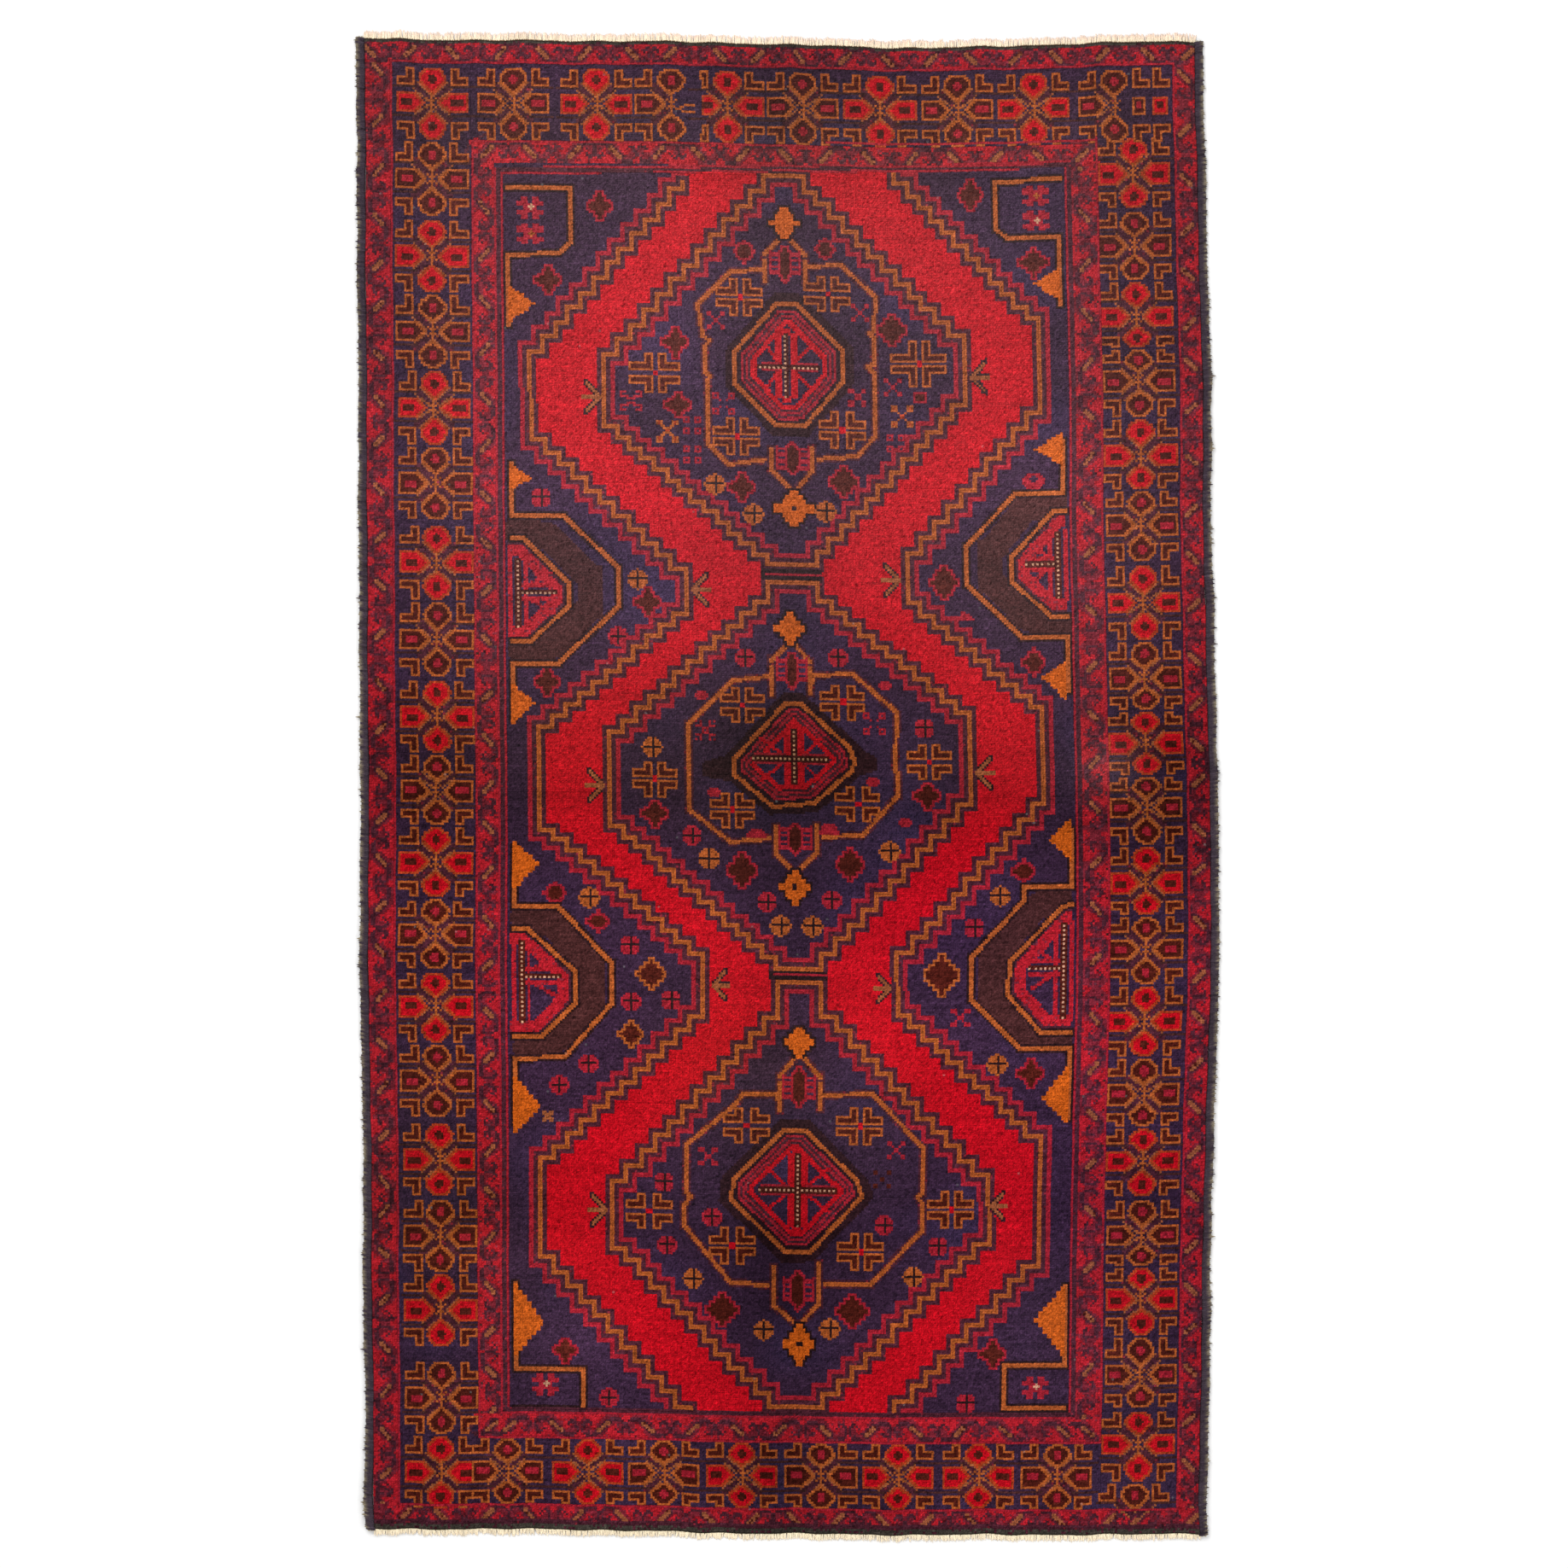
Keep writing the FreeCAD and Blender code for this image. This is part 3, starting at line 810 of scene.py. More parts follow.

# Places that painted light and shade from the pile lay and old creases, and wear, make lighter or
# darker, and stretches where the dye is bluer or less blue: middle and reach across and along, in
# knots, and the change.
SHADED = (
    (-35, 275, 40, 30, 0.17), (-20, 225, 25, 20, 0.14), (-55, 195, 22, 15, 0.18),
    (-115, 135, 60, 16, 0.20), (115, 138, 40, 22, 0.33), (-40, -55, 32, 25, 0.17),
    (70, -110, 95, 17, 0.22), (0, -132, 36, 16, 0.20), (-4, -215, 28, 70, -0.20),
    (-92, -250, 20, 16, 0.36), (-166, -215, 30, 34, -0.16), (-5, 25, 32, 20, -0.20),
    (55, 12, 17, 13, 0.20), (-2, -262, 10, 12, 0.2),
)
TINTED = (
    (0, 290, 220, 26, -0.18), (-40, 14, 130, 34, -0.20), (-60, 105, 90, 30, 0.14),
    (140, -180, 60, 90, 0.15), (70, -60, 50, 30, 0.16), (-20, -125, 40, 30, -0.24),
    (-150, -190, 50, 40, -0.16),
)


def patches(places, x, y):
    """The sum of soft oval patches at each knot."""
    total = 0
    for middle_x, middle_y, reach_x, reach_y, change in places:
        total = total + change * falls(x, middle_x, reach_x) * falls(y, middle_y, reach_y)
    return total


def linear(rgb):
    """sRGB bytes as linear light."""
    value = np.asarray(rgb, float) / 255
    return np.where(value <= 0.04045, value / 12.92, ((value + 0.055) / 1.055) ** 2.4)


def smooth_noise(shape, cells):
    """Seeded soft noise between about -1 and 1, with the given number of cells each way."""
    rows, cols = shape
    coarse = rng.normal(0, 0.5, (cells[0] + 1, cells[1] + 1))
    r = np.linspace(0, cells[0], rows)
    c = np.linspace(0, cells[1], cols)
    by_row = np.array([np.interp(c, np.arange(cells[1] + 1), line) for line in coarse])
    r0 = np.clip(r.astype(int), 0, cells[0] - 1)
    part = (r - r0)[:, None]
    part = part * part * (3 - 2 * part)
    return by_row[r0] * (1 - part) + by_row[r0 + 1] * part


def dye_table():
    """Linear colour of every yarn, by its number."""
    return np.array([linear(YARN_RGB[yarn]) for yarn in sorted(YARN_RGB)])


def wool_colours(yarn):
    """Each knot's linear colour: dye, abrash down the rug, and painted light and shade of the pile
    lay.
    """
    table = dye_table()
    v = (np.arange(ALONG) + 0.5) / ALONG * 2 - 1
    u = (np.arange(ACROSS) + 0.5) / ACROSS * 2 - 1
    v, u = v[:, None], u[None, :]
    pale = 0.5 + 0.5 * np.tanh((v - 0.22) / 0.12)
    # Painted shade from the pile lay and an old fold: a darker band across the middle and a streak
    # down it.
    dark = falls(v, 0.0, 0.11)
    tone = 0.96 - 0.27 * dark - 0.07 * falls(v, -0.56, 0.10) - 0.05 * falls(v, 0.85, 0.2)
    tone = tone - (0.15 + 0.05 * dark) * falls(u, -0.02, 0.12)
    border = np.maximum(falls(np.abs(u), 1.0, 0.26), falls(np.abs(v), 1.0, 0.13))
    x, y = u * ACROSS / 2, v * ALONG / 2
    tone = tone + 0.07 * falls(np.abs(u), 0.55, 0.18) - 0.09 * border + patches(SHADED, x, y)
    # Painted highlight on an old fold across the right border; it lightens the tone and the haze
    # below.
    worn = falls(u, 0.76, 0.07) * falls(v, 0.03, 0.035)
    shape = (ALONG, ACROSS)
    streaks = smooth_noise(shape, (150, 4)) + 0.7 * smooth_noise(shape, (50, 7))
    blotches = smooth_noise(shape, (16, 9)) + smooth_noise(shape, (48, 27))
    tone = tone + 0.07 * blotches + 0.08 * streaks + 0.25 * worn
    knot_tone = rng.normal(0, 1, shape)
    knot_tone = (knot_tone + 0.5 * np.roll(knot_tone, 1, 1)) * 0.9
    tone = tone * (1 + KNOT_TONE * knot_tone) * (1 + ROW_TONE * rng.normal(0, 1, (ALONG, 1)))
    # Dark wool takes the tone, painted light and shade among it, more strongly than bright wool.
    lay = np.where(table.sum(1) < DARK_WOOL, 1.35, 0.85)  # it shows the lay of the pile most
    rgb = table[yarn] * (np.clip(tone, 0.3, 1.7) ** lay[yarn])[..., None]
    rgb[..., 2] *= 1 + patches(TINTED, x, y)
    # Painted sheen with dust: a pale haze over the head half and towards the right, less on the
    # borders.
    haze = np.clip(smooth_noise(shape, (7, 5)) + 0.2 * falls(u, 0.7, 0.5), 0, 1)
    dust_and_sheen = (pale + 0.3 * haze) * (1 - 0.6 * border) + worn
    bloom = np.clip(smooth_noise(shape, (24, 14)), 0, 1) * (yarn == NAVY)
    rgb = rgb + DUST_AND_SHEEN * dust_and_sheen[..., None] + BLOOM * bloom[..., None]
    lint = rng.random(shape) < LINT_SHARE
    rgb[lint] = rgb[lint] * 0.7 + 0.05
    return np.clip(rgb, 0.001, 1)


# ---------------------------------------------------------------- materials
def wool_material(name, roughness=0.95, bump=0.35, grain=900.0):
    """Matte wool whose colour comes from the mesh, broken up by the fibre."""
    material = bpy.data.materials.new(name)
    material.use_nodes = True
    nodes, links = material.node_tree.nodes, material.node_tree.links
    shader = nodes["Principled BSDF"]
    shader.inputs["Roughness"].default_value = roughness
    shader.inputs["Specular IOR Level"].default_value = 0.03
    dye = nodes.new("ShaderNodeAttribute")
    dye.attribute_name = "dye"
    where = nodes.new("ShaderNodeTexCoord")
    fibre = nodes.new("ShaderNodeTexNoise")
    fibre.inputs["Scale"].default_value = grain
    fibre.inputs["Detail"].default_value = 3.0
    links.new(where.outputs["Object"], fibre.inputs["Vector"])
    spread = nodes.new("ShaderNodeMapRange")
    for socket, value in (("From Min", 0.25), ("From Max", 0.75), ("To Min", 0.48),
                          ("To Max", 1.55)):
        spread.inputs[socket].default_value = value
    links.new(fibre.outputs["Fac"], spread.inputs["Value"])
    tint = nodes.new("ShaderNodeVectorMath")
    tint.operation = "SCALE"
    links.new(dye.outputs["Color"], tint.inputs[0])
    links.new(spread.outputs["Result"], tint.inputs["Scale"])
    links.new(tint.outputs["Vector"], shader.inputs["Base Color"])
    relief = nodes.new("ShaderNodeBump")
    relief.inputs["Strength"].default_value = bump
    relief.inputs["Distance"].default_value = 0.6 * MM
    links.new(fibre.outputs["Fac"], relief.inputs["Height"])
    links.new(relief.outputs["Normal"], shader.inputs["Normal"])
    return material


def floor_material():
    """A flat pale finish."""
    material = bpy.data.materials.new("floor_white")
    material.use_nodes = True
    shader = material.node_tree.nodes["Principled BSDF"]
    shader.inputs["Base Color"].default_value = (0.93, 0.93, 0.93, 1)
    shader.inputs["Roughness"].default_value = 0.9
    shader.inputs["Specular IOR Level"].default_value = 0.1
    return material


# ---------------------------------------------------------------- meshes
def build(name, points, faces, dye, material):
    """A piece from points, four-cornered faces, and a colour per point or per face corner."""
    mesh = bpy.data.meshes.new(name)
    mesh.vertices.add(len(points))
    mesh.vertices.foreach_set("co", np.asarray(points, np.float32).ravel())
    mesh.loops.add(faces.size)
    mesh.loops.foreach_set("vertex_index", faces.astype(np.int32).ravel())
    mesh.polygons.add(len(faces))
    mesh.polygons.foreach_set("loop_start", np.arange(0, faces.size, 4, dtype=np.int32))
    mesh.polygons.foreach_set("use_smooth", np.ones(len(faces), bool))
    mesh.update(calc_edges=True)
    per_corner = dye.ndim == 3
    colour = mesh.color_attributes.new("dye", "FLOAT_COLOR", "CORNER" if per_corner else "POINT")
    rgba = np.ones((dye.size // 3, 4), np.float32)
    rgba[:, :3] = dye.reshape(-1, 3)
    colour.data.foreach_set("color", rgba.ravel())
    mesh.materials.append(material)
    piece = bpy.data.objects.new(name, mesh)
    bpy.context.collection.objects.link(piece)
    return piece


def stands_for(piece, slot, *nodes):
    """Every piece rides on the one body and replaces its CAD nodes."""
    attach(piece, "root")
    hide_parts(*nodes)
    return piece


def flat_grid(rows, cols):
    """The x and y of a grid of points over the whole weave."""
    x = np.linspace(-HALF_WIDE, HALF_WIDE, cols)[None, :].repeat(rows, 0)
    y = np.linspace(-HALF_LONG, HALF_LONG, rows)[:, None].repeat(cols, 1)
    return x, y


def sheet_faces(rows, cols):
    """Faces of a grid of points, numbered row by row."""
    corner = np.arange(rows * cols).reshape(rows, cols)
    return np.stack([corner[:-1, :-1], corner[:-1, 1:], corner[1:, 1:], corner[1:, :-1]], -1)


def tube_faces(*shape):
    """Faces of tubes of points, numbered ring by ring and round each ring."""
    number = np.arange(math.prod(shape)).reshape(shape)
    after = np.roll(number, -1, -1)
    around = [number[..., :-1, :], after[..., :-1, :], after[..., 1:, :], number[..., 1:, :]]
    return np.stack(around, -1).reshape(-1, 4)


def turned(count):
    """Even angles round a ring."""
    return np.linspace(0, 2 * math.pi, count, endpoint=False)


def drift(rings, span, draw, *limits):
    """Seeded noise along a row of rings, with a fresh value after every span of them."""
    marks = np.arange(0, rings + span, span)
    return np.interp(np.arange(rings), marks, draw(*limits, len(marks)))


# ---------------------------------------------------------------- pile
# Painted shade on the sides of the pile.
WALL_SHADE = np.array([0.8, 0.8, 0.4, 0.4])  # the sides of the pile are darker lower down


def four_samples(middle, beside, above, corner):
    """Values on the fine grid: in the knots' middles, between them either way, and at corners."""
    grid = np.empty((SUB * ALONG + 1, SUB * ACROSS + 1))
    grid[1::2, 1::2] = middle
    grid[1::2, ::2] = beside
    grid[::2, 1::2] = above
    grid[::2, ::2] = corner
    return grid


class Pile:
    """The whole pile as one fine grid, that the pieces are cut from."""

    def __init__(self, yarn):
        self.tint = wool_colours(yarn).reshape(-1, 3)
        knot_number = np.arange(ALONG * ACROSS).reshape(ALONG, ACROSS)
        self.knot_at = knot_number.repeat(SUB, 0).repeat(SUB, 1)
        rows, cols = SUB * ALONG + 1, SUB * ACROSS + 1
        x, y = flat_grid(rows, cols)
        # Painted shade across each knot: lightest in its middle, darker between knots, darkest at
        # corners.
        lay = four_samples(1.06, 0.90, 0.84, 0.76)
        self.lay = np.clip(lay * (1 + TUFT_TONE * rng.normal(0, 1, lay.shape)), 0.2, 1.8).ravel()
        tuft = four_samples(rng.normal(0, 0.16, (ALONG, ACROSS)), -0.32, -0.42, -0.55)
        tuft = tuft + 0.12 * rng.normal(0, 1, (rows, cols))
        edge = np.minimum.reduce([HALF_WIDE - np.abs(x), HALF_LONG - np.abs(y)]) / (3 * KNOT)
        worn = 1.3 * np.exp(-edge * 2.2)
        moved_x, moved_y = place(x, y)
        jitter = rng.normal(0, 0.22 * MM, (2, rows, cols))
        jitter[:, [0, -1], :] = 0
        jitter[:, :, [0, -1]] = 0
        moved_x, moved_y = moved_x + jitter[0], moved_y + jitter[1]
        top = PILE_TOP + (tuft - worn - 0.4) * MM + lift(x, y)
        self.points = np.stack([moved_x, moved_y, top], -1).reshape(-1, 3)
        self.base = (WEAVE_TOP - 0.3 * MM + lift(x, y)).ravel()
        self.quads = sheet_faces(rows, cols)

    def cut(self, name, knots, material):
        """The piece of pile over some knots, with walls down to the weave all round it."""
        fine = knots.repeat(SUB, 0).repeat(SUB, 1)
        quads = self.quads[fine]
        total = len(self.points)
        faces = [quads]
        # Each corner takes its knot's colour times the painted shade across the knot.
        dye = [self.tint[self.knot_at[fine]][:, None] * self.lay[quads][..., None]]
        around = np.pad(fine, 1)
        # A cell's neighbours on its foot, right, head and left side, in the order of its corners.
        neighbours = (around[:-2, 1:-1], around[1:-1, 2:], around[2:, 1:-1], around[1:-1, :-2])
        for side, filled in enumerate(neighbours):
            bare = fine & ~filled
            edge = self.quads[bare]
            a, b = edge[:, side], edge[:, (side + 1) % 4]
            faces.append(np.stack([b, a, a + total, b + total], -1))
            # The walls take painted shade, darker lower down.
            dye.append(self.tint[self.knot_at[bare]][:, None] * WALL_SHADE[:, None])
        used, faces = np.unique(np.concatenate(faces), return_inverse=True)
        points = self.points[used % total]
        low = used >= total
        points[low, 2] = self.base[used[low] % total]
        return build(name, points, faces.reshape(-1, 4), np.concatenate(dye), material)


COLUMN_X = 3  # the medallions' column stands this many knots right of the middle


def regions():
    """Which knots each CAD node of pile stands for."""
    loom = Loom()
    x, y = loom.x[None, :], loom.y[:, None]
    left, right, foot, head = -ACROSS / 2, ACROSS / 2, -ALONG / 2, ALONG / 2
    found = {}
    for band in ("outer_guard", "main_border", "inner_guard"):
        box = {side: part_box(f"pile_{band}_{side}") for side in ("left", "right", "head", "foot")}
        inner = (box["left"][1].x, box["right"][0].x, box["foot"][1].y, box["head"][0].y)
        inner_left, inner_right, inner_foot, inner_head = (round(value / KNOT) for value in inner)
        tall = (y > foot) & (y < head)
        wide = (x > inner_left) & (x < inner_right)
        found[f"pile_{band}_left"] = tall & (x > left) & (x < inner_left)
        found[f"pile_{band}_right"] = tall & (x < right) & (x > inner_right)
        found[f"pile_{band}_head"] = wide & (y < head) & (y > inner_head)
        found[f"pile_{band}_foot"] = wide & (y > foot) & (y < inner_foot)
        left, right, foot, head = inner_left, inner_right, inner_foot, inner_head
    field = (x > left) & (x < right) & (y > foot) & (y < head)
    taken = np.zeros(field.shape, bool)
    for name, (left_side, right_side) in MEDALLIONS.items():
        mask = loom.mask(left_side + right_side[::-1])
        found[f"pile_medallion_{name}"] = mask & field & ~taken
        taken |= mask
    ribbon_mask = loom.mask(LEFT_EDGE + RIGHT_EDGE[::-1])
    for side, half in (("left", x < COLUMN_X), ("right", x > COLUMN_X)):
        found[f"pile_ribbon_{side}"] = ribbon_mask & field & ~taken & half
        found[f"pile_ground_{side}"] = field & ~ribbon_mask & ~taken & half
    return found


def tiles(mask):
    """A long area in pieces of even length, each small enough to be seen in detail."""
    rows, cols = np.flatnonzero(mask.any(1)), np.flatnonzero(mask.any(0))
    upright = np.ptp(rows) >= np.ptp(cols)
    span = rows if upright else cols
    count = math.ceil((np.ptp(span) + 1) / TILE_KNOTS)
    limits = np.linspace(span[0], span[-1] + 1, count + 1).round().astype(int)
    for start, stop in zip(limits, limits[1:]):
        part = np.zeros_like(mask)
        if upright:
            part[start:stop] = mask[start:stop]
        else:
            part[:, start:stop] = mask[:, start:stop]
        yield part


PILE_SLOTS = {
    "pile_outer": "guard_pile", "pile_inner": "guard_pile", "pile_main": "border_pile",
    "pile_ribbon": "ribbon_pile", "pile_ground": "ground_pile", "pile_medallion": "ground_pile",
}


def knotted_pile(yarn, wool):
    """Every piece of pile; returns them all."""
    pile, pieces = Pile(yarn), []
    for node, mask in regions().items():
        slot = PILE_SLOTS["_".join(node.split("_")[:2])]
        for number, part in enumerate(tiles(mask), 1):
            piece = pile.cut(f"{node}_{number}", part, wool[slot])
            pieces.append(stands_for(piece, slot, node))
    return pieces


# ---------------------------------------------------------------- foundation
def ground_weave(yarn, material):
    """The back of the rug: rows of knot backs, the design showing through."""
    rows, cols = ALONG + 1, ACROSS + 1
    x, y = flat_grid(rows, cols)
    ridge = 0.25 * MM * (1 + np.cos(np.arange(rows) * math.pi))[:, None]
    z = WEAVE_LOW.z + lift(x, y) + ridge + 0.12 * MM * rng.random((rows, cols))
    knots = np.pad(dye_table()[yarn], ((0, 1), (0, 1), (0, 0)), "edge")
    shade = 0.75 + 0.25 * rng.random((rows, cols, 1))
    shade[::2] *= 0.8
    dye = (knots * shade + 0.012).reshape(-1, 3)
    points = np.stack([*place(x, y), z], -1).reshape(-1, 3)
    faces = sheet_faces(rows, cols).reshape(-1, 4)[:, ::-1]
    number = np.arange(rows * cols).reshape(rows, cols)
    rim = np.concatenate([number[0], number[1:, -1], number[-1, -2::-1], number[-2:0:-1, 0]])
    raised = points[rim] + [0, 0, WEAVE_TOP - WEAVE_LOW.z - 0.2 * MM]
    upper = rows * cols + np.arange(len(rim))
    walls = np.stack([rim, np.roll(rim, -1), np.roll(upper, -1), upper], -1)
    piece = build("ground_weave_back", np.concatenate([points, raised]),
                  np.concatenate([faces, walls]), np.concatenate([dye, dye[rim]]), material)
    return stands_for(piece, "foundation", "ground_weave")


# ---------------------------------------------------------------- selvedges
def sweep(name, line, section, dye, material):
    """A band of rings along +Y: line gives x, y and z of each ring, section its points."""
    points = line[:, None] + section[..., [0, 2, 1]]
    return build(name, points.reshape(-1, 3), tube_faces(*section.shape[:2]),
                 dye.reshape(-1, 3), material)


def rug_side(sign, along):
    """Points down one long side of the lying rug."""
    flat_x = np.full(len(along), sign * HALF_WIDE)
    return np.stack([*place(flat_x, along), lift(flat_x, along)], -1)


WRAP_PITCH = 2.6 * MM
WRAP_SAMPLES = 4  # rings in each turn of the wrapping
WRAP_AROUND = 20
KNOB_RINGS = 11  # the hair stands out in bumps this many rings long
CORD_RINGS = 400
CORD_TWIST = 0.9  # angle that a cord's ply turns through from ring to ring
HAIR = (56, 47, 55)
HAIR_PALE = (140, 128, 104)
WARP = (250, 236, 204)
WARP_TIP = (248, 220, 202)
WEFT = (150, 120, 96)
LINE_DYE = (60, 54, 44)


def selvedge_wrap(side, sign, material):
    """Goat hair overcast round one long side, turn by turn."""
    low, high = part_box(f"selvedge_wrap_{side}")
    half_wide, half_thick = (high.x - low.x) / 2, (high.z - low.z) / 2
    turns = round((high.y - low.y) / WRAP_PITCH)
    rings = turns * WRAP_SAMPLES + 1
    in_turn = np.sin(math.pi * (np.arange(rings) % WRAP_SAMPLES + 0.5) / WRAP_SAMPLES)
    lump = 1 + 0.07 * drift(rings, 40, rng.normal, 0, 1)
    turn_size = rng.normal(1, 0.07, turns + 1).repeat(WRAP_SAMPLES)[:rings]
    stray = rng.exponential(0.9 * MM, turns + 1).repeat(WRAP_SAMPLES)[:rings]
    knob = np.abs(np.sin(np.arange(rings) * (math.pi / KNOB_RINGS)))
    knob_size = rng.uniform(0.2, 1.6, rings // KNOB_RINGS + 1).repeat(KNOB_RINGS)[:rings]
    stray = stray + 1.1 * MM * knob * knob_size
    bulge = (0.90 + 0.12 * in_turn) * turn_size
    cos, sin = np.cos(turned(WRAP_AROUND)), np.sin(turned(WRAP_AROUND))
    outward = np.clip(cos * sign, 0, 1)
    size = (bulge * lump)[:, None]
    section = np.empty((rings, WRAP_AROUND, 3))
    section[..., 0] = half_wide * np.sign(cos) * np.abs(cos) ** 0.8 * (0.5 + 0.5 * size)
    section[..., 0] += sign * outward**3 * (stray * in_turn)[:, None]
    section[..., 1] = half_thick * sin * (1 - 0.10 * falls(cos, 0, 0.25)) * size * 0.97
    section[..., 2] = 0.8 * MM * cos * sign
    line = rug_side(sign, np.linspace(low.y, high.y, rings))
    line += [sign * (half_wide - 0.4 * MM), 0, half_thick + 0.2 * MM]
    line[:, 0] += sign * 0.6 * MM * drift(rings, 60, rng.normal, 0, 1)
    worn = rng.normal(0.5, 0.5, turns + 1).repeat(WRAP_SAMPLES)[:rings]
    mix = outward**1.5 * np.clip(worn + 0.25 * rng.normal(0, 1, rings), 0, 1)[:, None]
    hair = linear(HAIR) * (1 - mix[..., None]) + linear(HAIR_PALE) * mix[..., None]
    # Painted shade: each turn is lighter on its crest and on bigger turns, darker in the grooves
    # between.
    tone = (0.80 + 0.35 * (bulge - 0.85) / 0.17)[:, None, None]
    dye = hair * tone * (1 + 0.18 * rng.normal(0, 1, (rings, WRAP_AROUND, 1)))
    wrap = sweep(f"selvedge_wrap_{side}_hair", line, section, np.clip(dye, 0.002, 1), material)
    return stands_for(wrap, "goat_hair", f"selvedge_wrap_{side}")


def selvedge_cords(side, sign, material):
    """The two warp cords inside one selvedge; their ends just show."""
    low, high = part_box(f"selvedge_cords_{side}")
    wrap_low, wrap_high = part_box(f"selvedge_wrap_{side}")
    radius = (high.z - low.z) / 2
    spacing = (high.x - low.x) / 2 - radius
    line = rug_side(sign, np.linspace(low.y - 1.5 * MM, high.y + 1.5 * MM, CORD_RINGS))
    line += [sign * (wrap_high.x - wrap_low.x) / 2, 0, (wrap_high.z - wrap_low.z) / 2]
    angle = turned(8)[None, :]
    ply = np.cos(2 * angle - np.arange(CORD_RINGS)[:, None] * CORD_TWIST)
    round_off = radius * (0.72 + 0.10 * ply)
    section = np.stack([round_off * np.cos(angle), round_off * np.sin(angle), 0 * ply], -1)
    # Painted shade: each cord darker in the grooves between its plies.
    dye = linear(WARP) * 0.7 * (0.85 + 0.15 * ply)[..., None]
    for rank, shift in enumerate((-spacing, spacing), 1):
        cord = sweep(f"selvedge_cord_{side}_{rank}", line + [shift, 0, 0], section, dye, material)
        yield stands_for(cord, "warp_wool", f"selvedge_cords_{side}")


# ---------------------------------------------------------------- end finishes
def end_weave(end, sign, material):
    """The narrow strip of flat weave past the last knots, and how far out it ends."""
    low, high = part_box(f"end_weave_{end}")
    inner, outer = (low.y, high.y) if sign > 0 else (high.y, low.y)
    profile = np.array([(inner - sign * 0.5 * MM, 0.3), (inner - sign * 0.5 * MM, 0.9),
                        ((inner * 2 + outer) / 3, 1.0), ((inner + outer * 2) / 3, 0.92),
                        (outer, 0.8), (outer + sign * 0.3 * MM, 0.4), (outer, 0.08)])
    rows, cols = len(profile), 2 * ACROSS + 1
    x = np.linspace(-HALF_WIDE, HALF_WIDE, cols)[None, :].repeat(rows, 0)
    y = profile[:, :1].repeat(cols, 1)
    rib = 1 + 0.10 * np.cos(np.arange(cols) * math.pi)[None, :]
    z = WEAVE_LOW.z + profile[:, 1:] * (WEAVE_TOP - WEAVE_LOW.z) * rib + lift(x, y)
    points = np.stack([*place(x, y), z], -1).reshape(-1, 3)
    faces = sheet_faces(rows, cols).reshape(-1, 4)[:, ::sign]
    dye = linear(WEFT) * (0.75 + 0.35 * rng.random((rows, cols, 1)))
    strip = build(f"end_weave_{end}_strip", points, faces, dye.reshape(-1, 3), material)
    return stands_for(strip, "dark_weft", f"end_weave_{end}"), outer


INSIDE_OUT = [0, 3, 2, 1]  # a face's corners the other way round
TWIST_RINGS = 9  # rings in one turn of the twined line
TWINING_SIDES = 8


def end_twining(end, sign, material):
    """The dark line twined over the flat weave."""
    low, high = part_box(f"end_twining_{end}")
    rings = 4 * ACROSS + 1
    along = np.linspace(-HALF_WIDE, HALF_WIDE, rings)
    middle_y = np.full(rings, (low.y + high.y) / 2 - sign * 0.6 * MM)
    line_x, line_y = place(along, middle_y)
    radius = (high.z - low.z) / 2 * drift(rings, TWIST_RINGS, rng.uniform, 0.7, 1.1)
    angle = turned(TWINING_SIDES)[None, :]
    spin = np.arange(rings)[:, None] * (2 * math.pi / TWIST_RINGS)
    size = radius[:, None] * (0.85 + 0.15 * np.cos(2 * angle - spin))
    points = np.stack([np.broadcast_to(line_x[:, None], size.shape),
                       line_y[:, None] + size * np.cos(angle),
                       (low.z + high.z) / 2 + size * np.sin(angle)
                       + lift(along, middle_y)[:, None]], -1)
    tone = (0.75 + 0.4 * rng.random((rings, 1, 1))) * np.ones((1, TWINING_SIDES, 1))
    line = build(f"end_twining_{end}_line", points.reshape(-1, 3),
                 tube_faces(rings, TWINING_SIDES)[:, INSIDE_OUT],
                 (linear(LINE_DYE) * tone).reshape(-1, 3), material)
    return stands_for(line, "dark_weft", f"end_twining_{end}")


YARN_TAPER = np.array([1.0, 1.0, 0.95, 0.95, 0.9, 0.8, 0.35])  # a yarn's width at each ring
YARN_SIDES = 5
CLUMP = 7.3 * KNOT  # the yarns hang together in clumps this wide


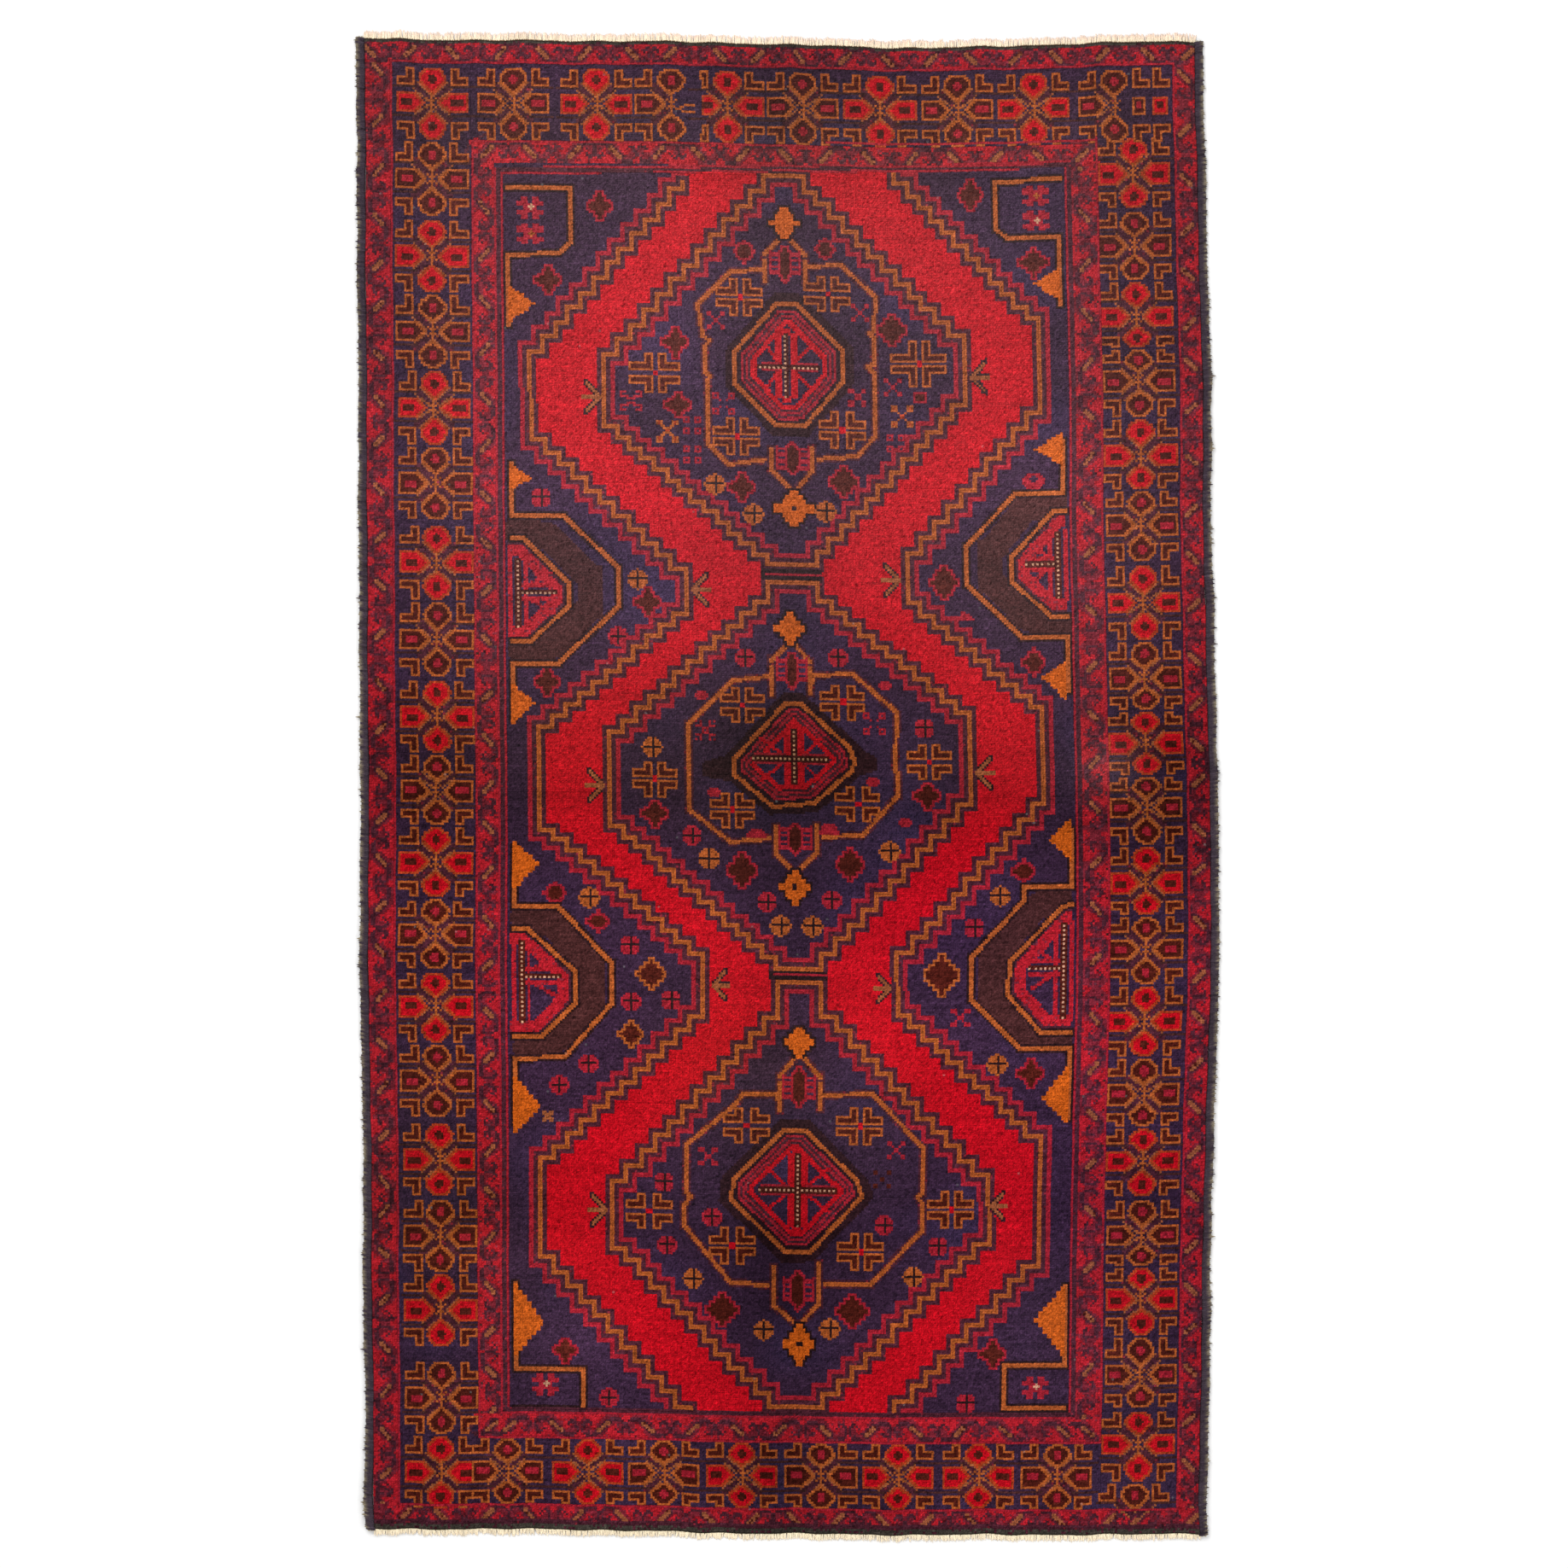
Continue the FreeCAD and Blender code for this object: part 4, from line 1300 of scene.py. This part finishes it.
def fringe(end, sign, root_y, material):
    """The cut warp ends: short wool yarns, close together and a little unruly."""
    low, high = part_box(f"fringe_{end}")
    head = sign > 0
    long = (high.y - low.y) * (1.22 if head else 0.95)
    count, rings = 3 * ACROSS, len(YARN_TAPER)
    x = np.linspace(-HALF_WIDE, HALF_WIDE, count) + rng.normal(0, 0.5 * MM, count)
    clump = np.sin(x * 2 * math.pi / CLUMP + 3 * np.sin(x * 9))
    reach = long * np.clip(rng.normal(0.86, 0.10, count) + 0.05 * clump, 0.35, 1.1)
    reach *= np.where(rng.random(count) < (0.02 if head else 0.06), 0.5, 1)
    lean = rng.normal(0, 0.7 * MM, count) - 0.7 * MM * np.cos(x * 2 * math.pi / CLUMP)
    thick = rng.uniform(0.75, 1.15, count) * 0.95 * MM
    height = rng.uniform(1.3, 2.1, count) * MM + (0 if head else 1.3 * MM)
    t = np.linspace(0, 1, rings)
    curl = rng.normal(0, 0.5 * MM, (count, 1)) * np.sin(math.pi * t)
    flat_x = x[:, None] + lean[:, None] * t**1.5 + curl
    flat_y = root_y - sign * 1.2 * MM + sign * reach[:, None] * t
    moved_x, moved_y = place(flat_x, flat_y)
    drop = height[:, None] * (1 - 0.45 * t) + 0.25 * MM
    centre_z = drop + lift(flat_x, flat_y) * (1 - 0.5 * t)
    width = (thick[:, None] * YARN_TAPER)[..., None]
    angle = turned(YARN_SIDES)
    points = np.stack([moved_x[..., None] + width * np.cos(angle),
                       moved_y[..., None] + 0 * width * angle,
                       centre_z[..., None] + width * 0.8 * np.sin(angle)], -1)
    faces = tube_faces(count, rings, YARN_SIDES)[:, INSIDE_OUT][:, ::sign]
    tone = rng.uniform(0.84, 1.10, (count, 1, 1, 1)) * np.ones((1, 1, YARN_SIDES, 1))
    toward_tip = (t if head else 0.3 * t)[None, :, None, None]
    yarn_dye = linear(WARP) * (1 - toward_tip) + linear(WARP_TIP) * toward_tip
    piece = build(f"fringe_{end}_yarns", points.reshape(-1, 3), faces,
                  np.clip(yarn_dye * tone, 0, 1).reshape(-1, 3), material)
    return stands_for(piece, "warp_wool", f"fringe_{end}")


# ---------------------------------------------------------------- the studio
FLOOR_HALF = 12.0
FRAMED = 2.018  # width of floor that the photograph takes in
CAMERA_HEIGHT = 6.0
CAMERA_ASIDE = (-0.0005, 0.0055)  # the rug is not quite in the middle of the photograph
SENSOR = 36.0


def studio():
    """Pale floor, soft light from above and the camera straight over the rug."""
    corners = [(x * FLOOR_HALF, y * FLOOR_HALF, 0.0) for x, y in ((-1, -1), (1, -1), (1, 1), (-1, 1))]
    mesh = bpy.data.meshes.new("floor")
    mesh.from_pydata(corners, [], [(0, 1, 2, 3)])
    floor = bpy.data.objects.new("floor", mesh)
    mesh.materials.append(floor_material())
    bpy.context.collection.objects.link(floor)

    world = bpy.data.worlds.new("studio")
    bpy.context.scene.world = world
    world.use_nodes = True
    sky = world.node_tree.nodes["Background"]
    sky.inputs["Color"].default_value = (1, 1, 1, 1)
    sky.inputs["Strength"].default_value = 0.62
    for name, spot, size, power in (("key", (-1.0, 1.5, 3.8), 2.4, 95.0),
                                    ("fill", (1.8, -1.8, 3.6), 2.6, 45.0)):
        lamp = bpy.data.lights.new(name, "AREA")
        lamp.size = size
        lamp.energy = power
        holder = bpy.data.objects.new(name, lamp)
        holder.location = spot
        holder.rotation_euler = (-Vector(spot)).to_track_quat("-Z", "Y").to_euler()
        bpy.context.collection.objects.link(holder)

    lens = bpy.data.cameras.new("camera")
    lens.sensor_width = SENSOR
    lens.lens = SENSOR * (CAMERA_HEIGHT - PILE_TOP) / FRAMED
    lens.clip_end = 100.0
    camera = bpy.data.objects.new("camera", lens)
    camera.location = (*CAMERA_ASIDE, CAMERA_HEIGHT)
    bpy.context.collection.objects.link(camera)
    bpy.context.scene.camera = camera
    bpy.context.scene.view_settings.view_transform = "Standard"


# ---------------------------------------------------------------- making it
studio()
wool = {slot: wool_material(f"{slot}_wool")
        for slot in ("guard_pile", "border_pile", "ribbon_pile", "ground_pile")}
back_wool = wool_material("foundation_wool", bump=0.5, grain=700.0)
hair = wool_material("goat_hair_wrap", bump=0.6, grain=1200.0)
warp = wool_material("warp_wool_yarn", bump=0.4, grain=1500.0)
weft = wool_material("dark_weft_yarn", bump=0.5, grain=1200.0)

design = weave_design()
going_along = knotted_pile(design, wool)
back = ground_weave(design, back_wool)
for side_name, side_sign in (("left", -1), ("right", 1)):
    going_along.append(selvedge_wrap(side_name, side_sign, hair))
    going_along += selvedge_cords(side_name, side_sign, warp)
for end_name, end_sign in (("head", 1), ("foot", -1)):
    end_strip, end_y = end_weave(end_name, end_sign, weft)
    going_along.append(end_strip)
    going_along.append(end_twining(end_name, end_sign, weft))
    going_along.append(fringe(end_name, end_sign, end_y, warp))

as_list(going_along)
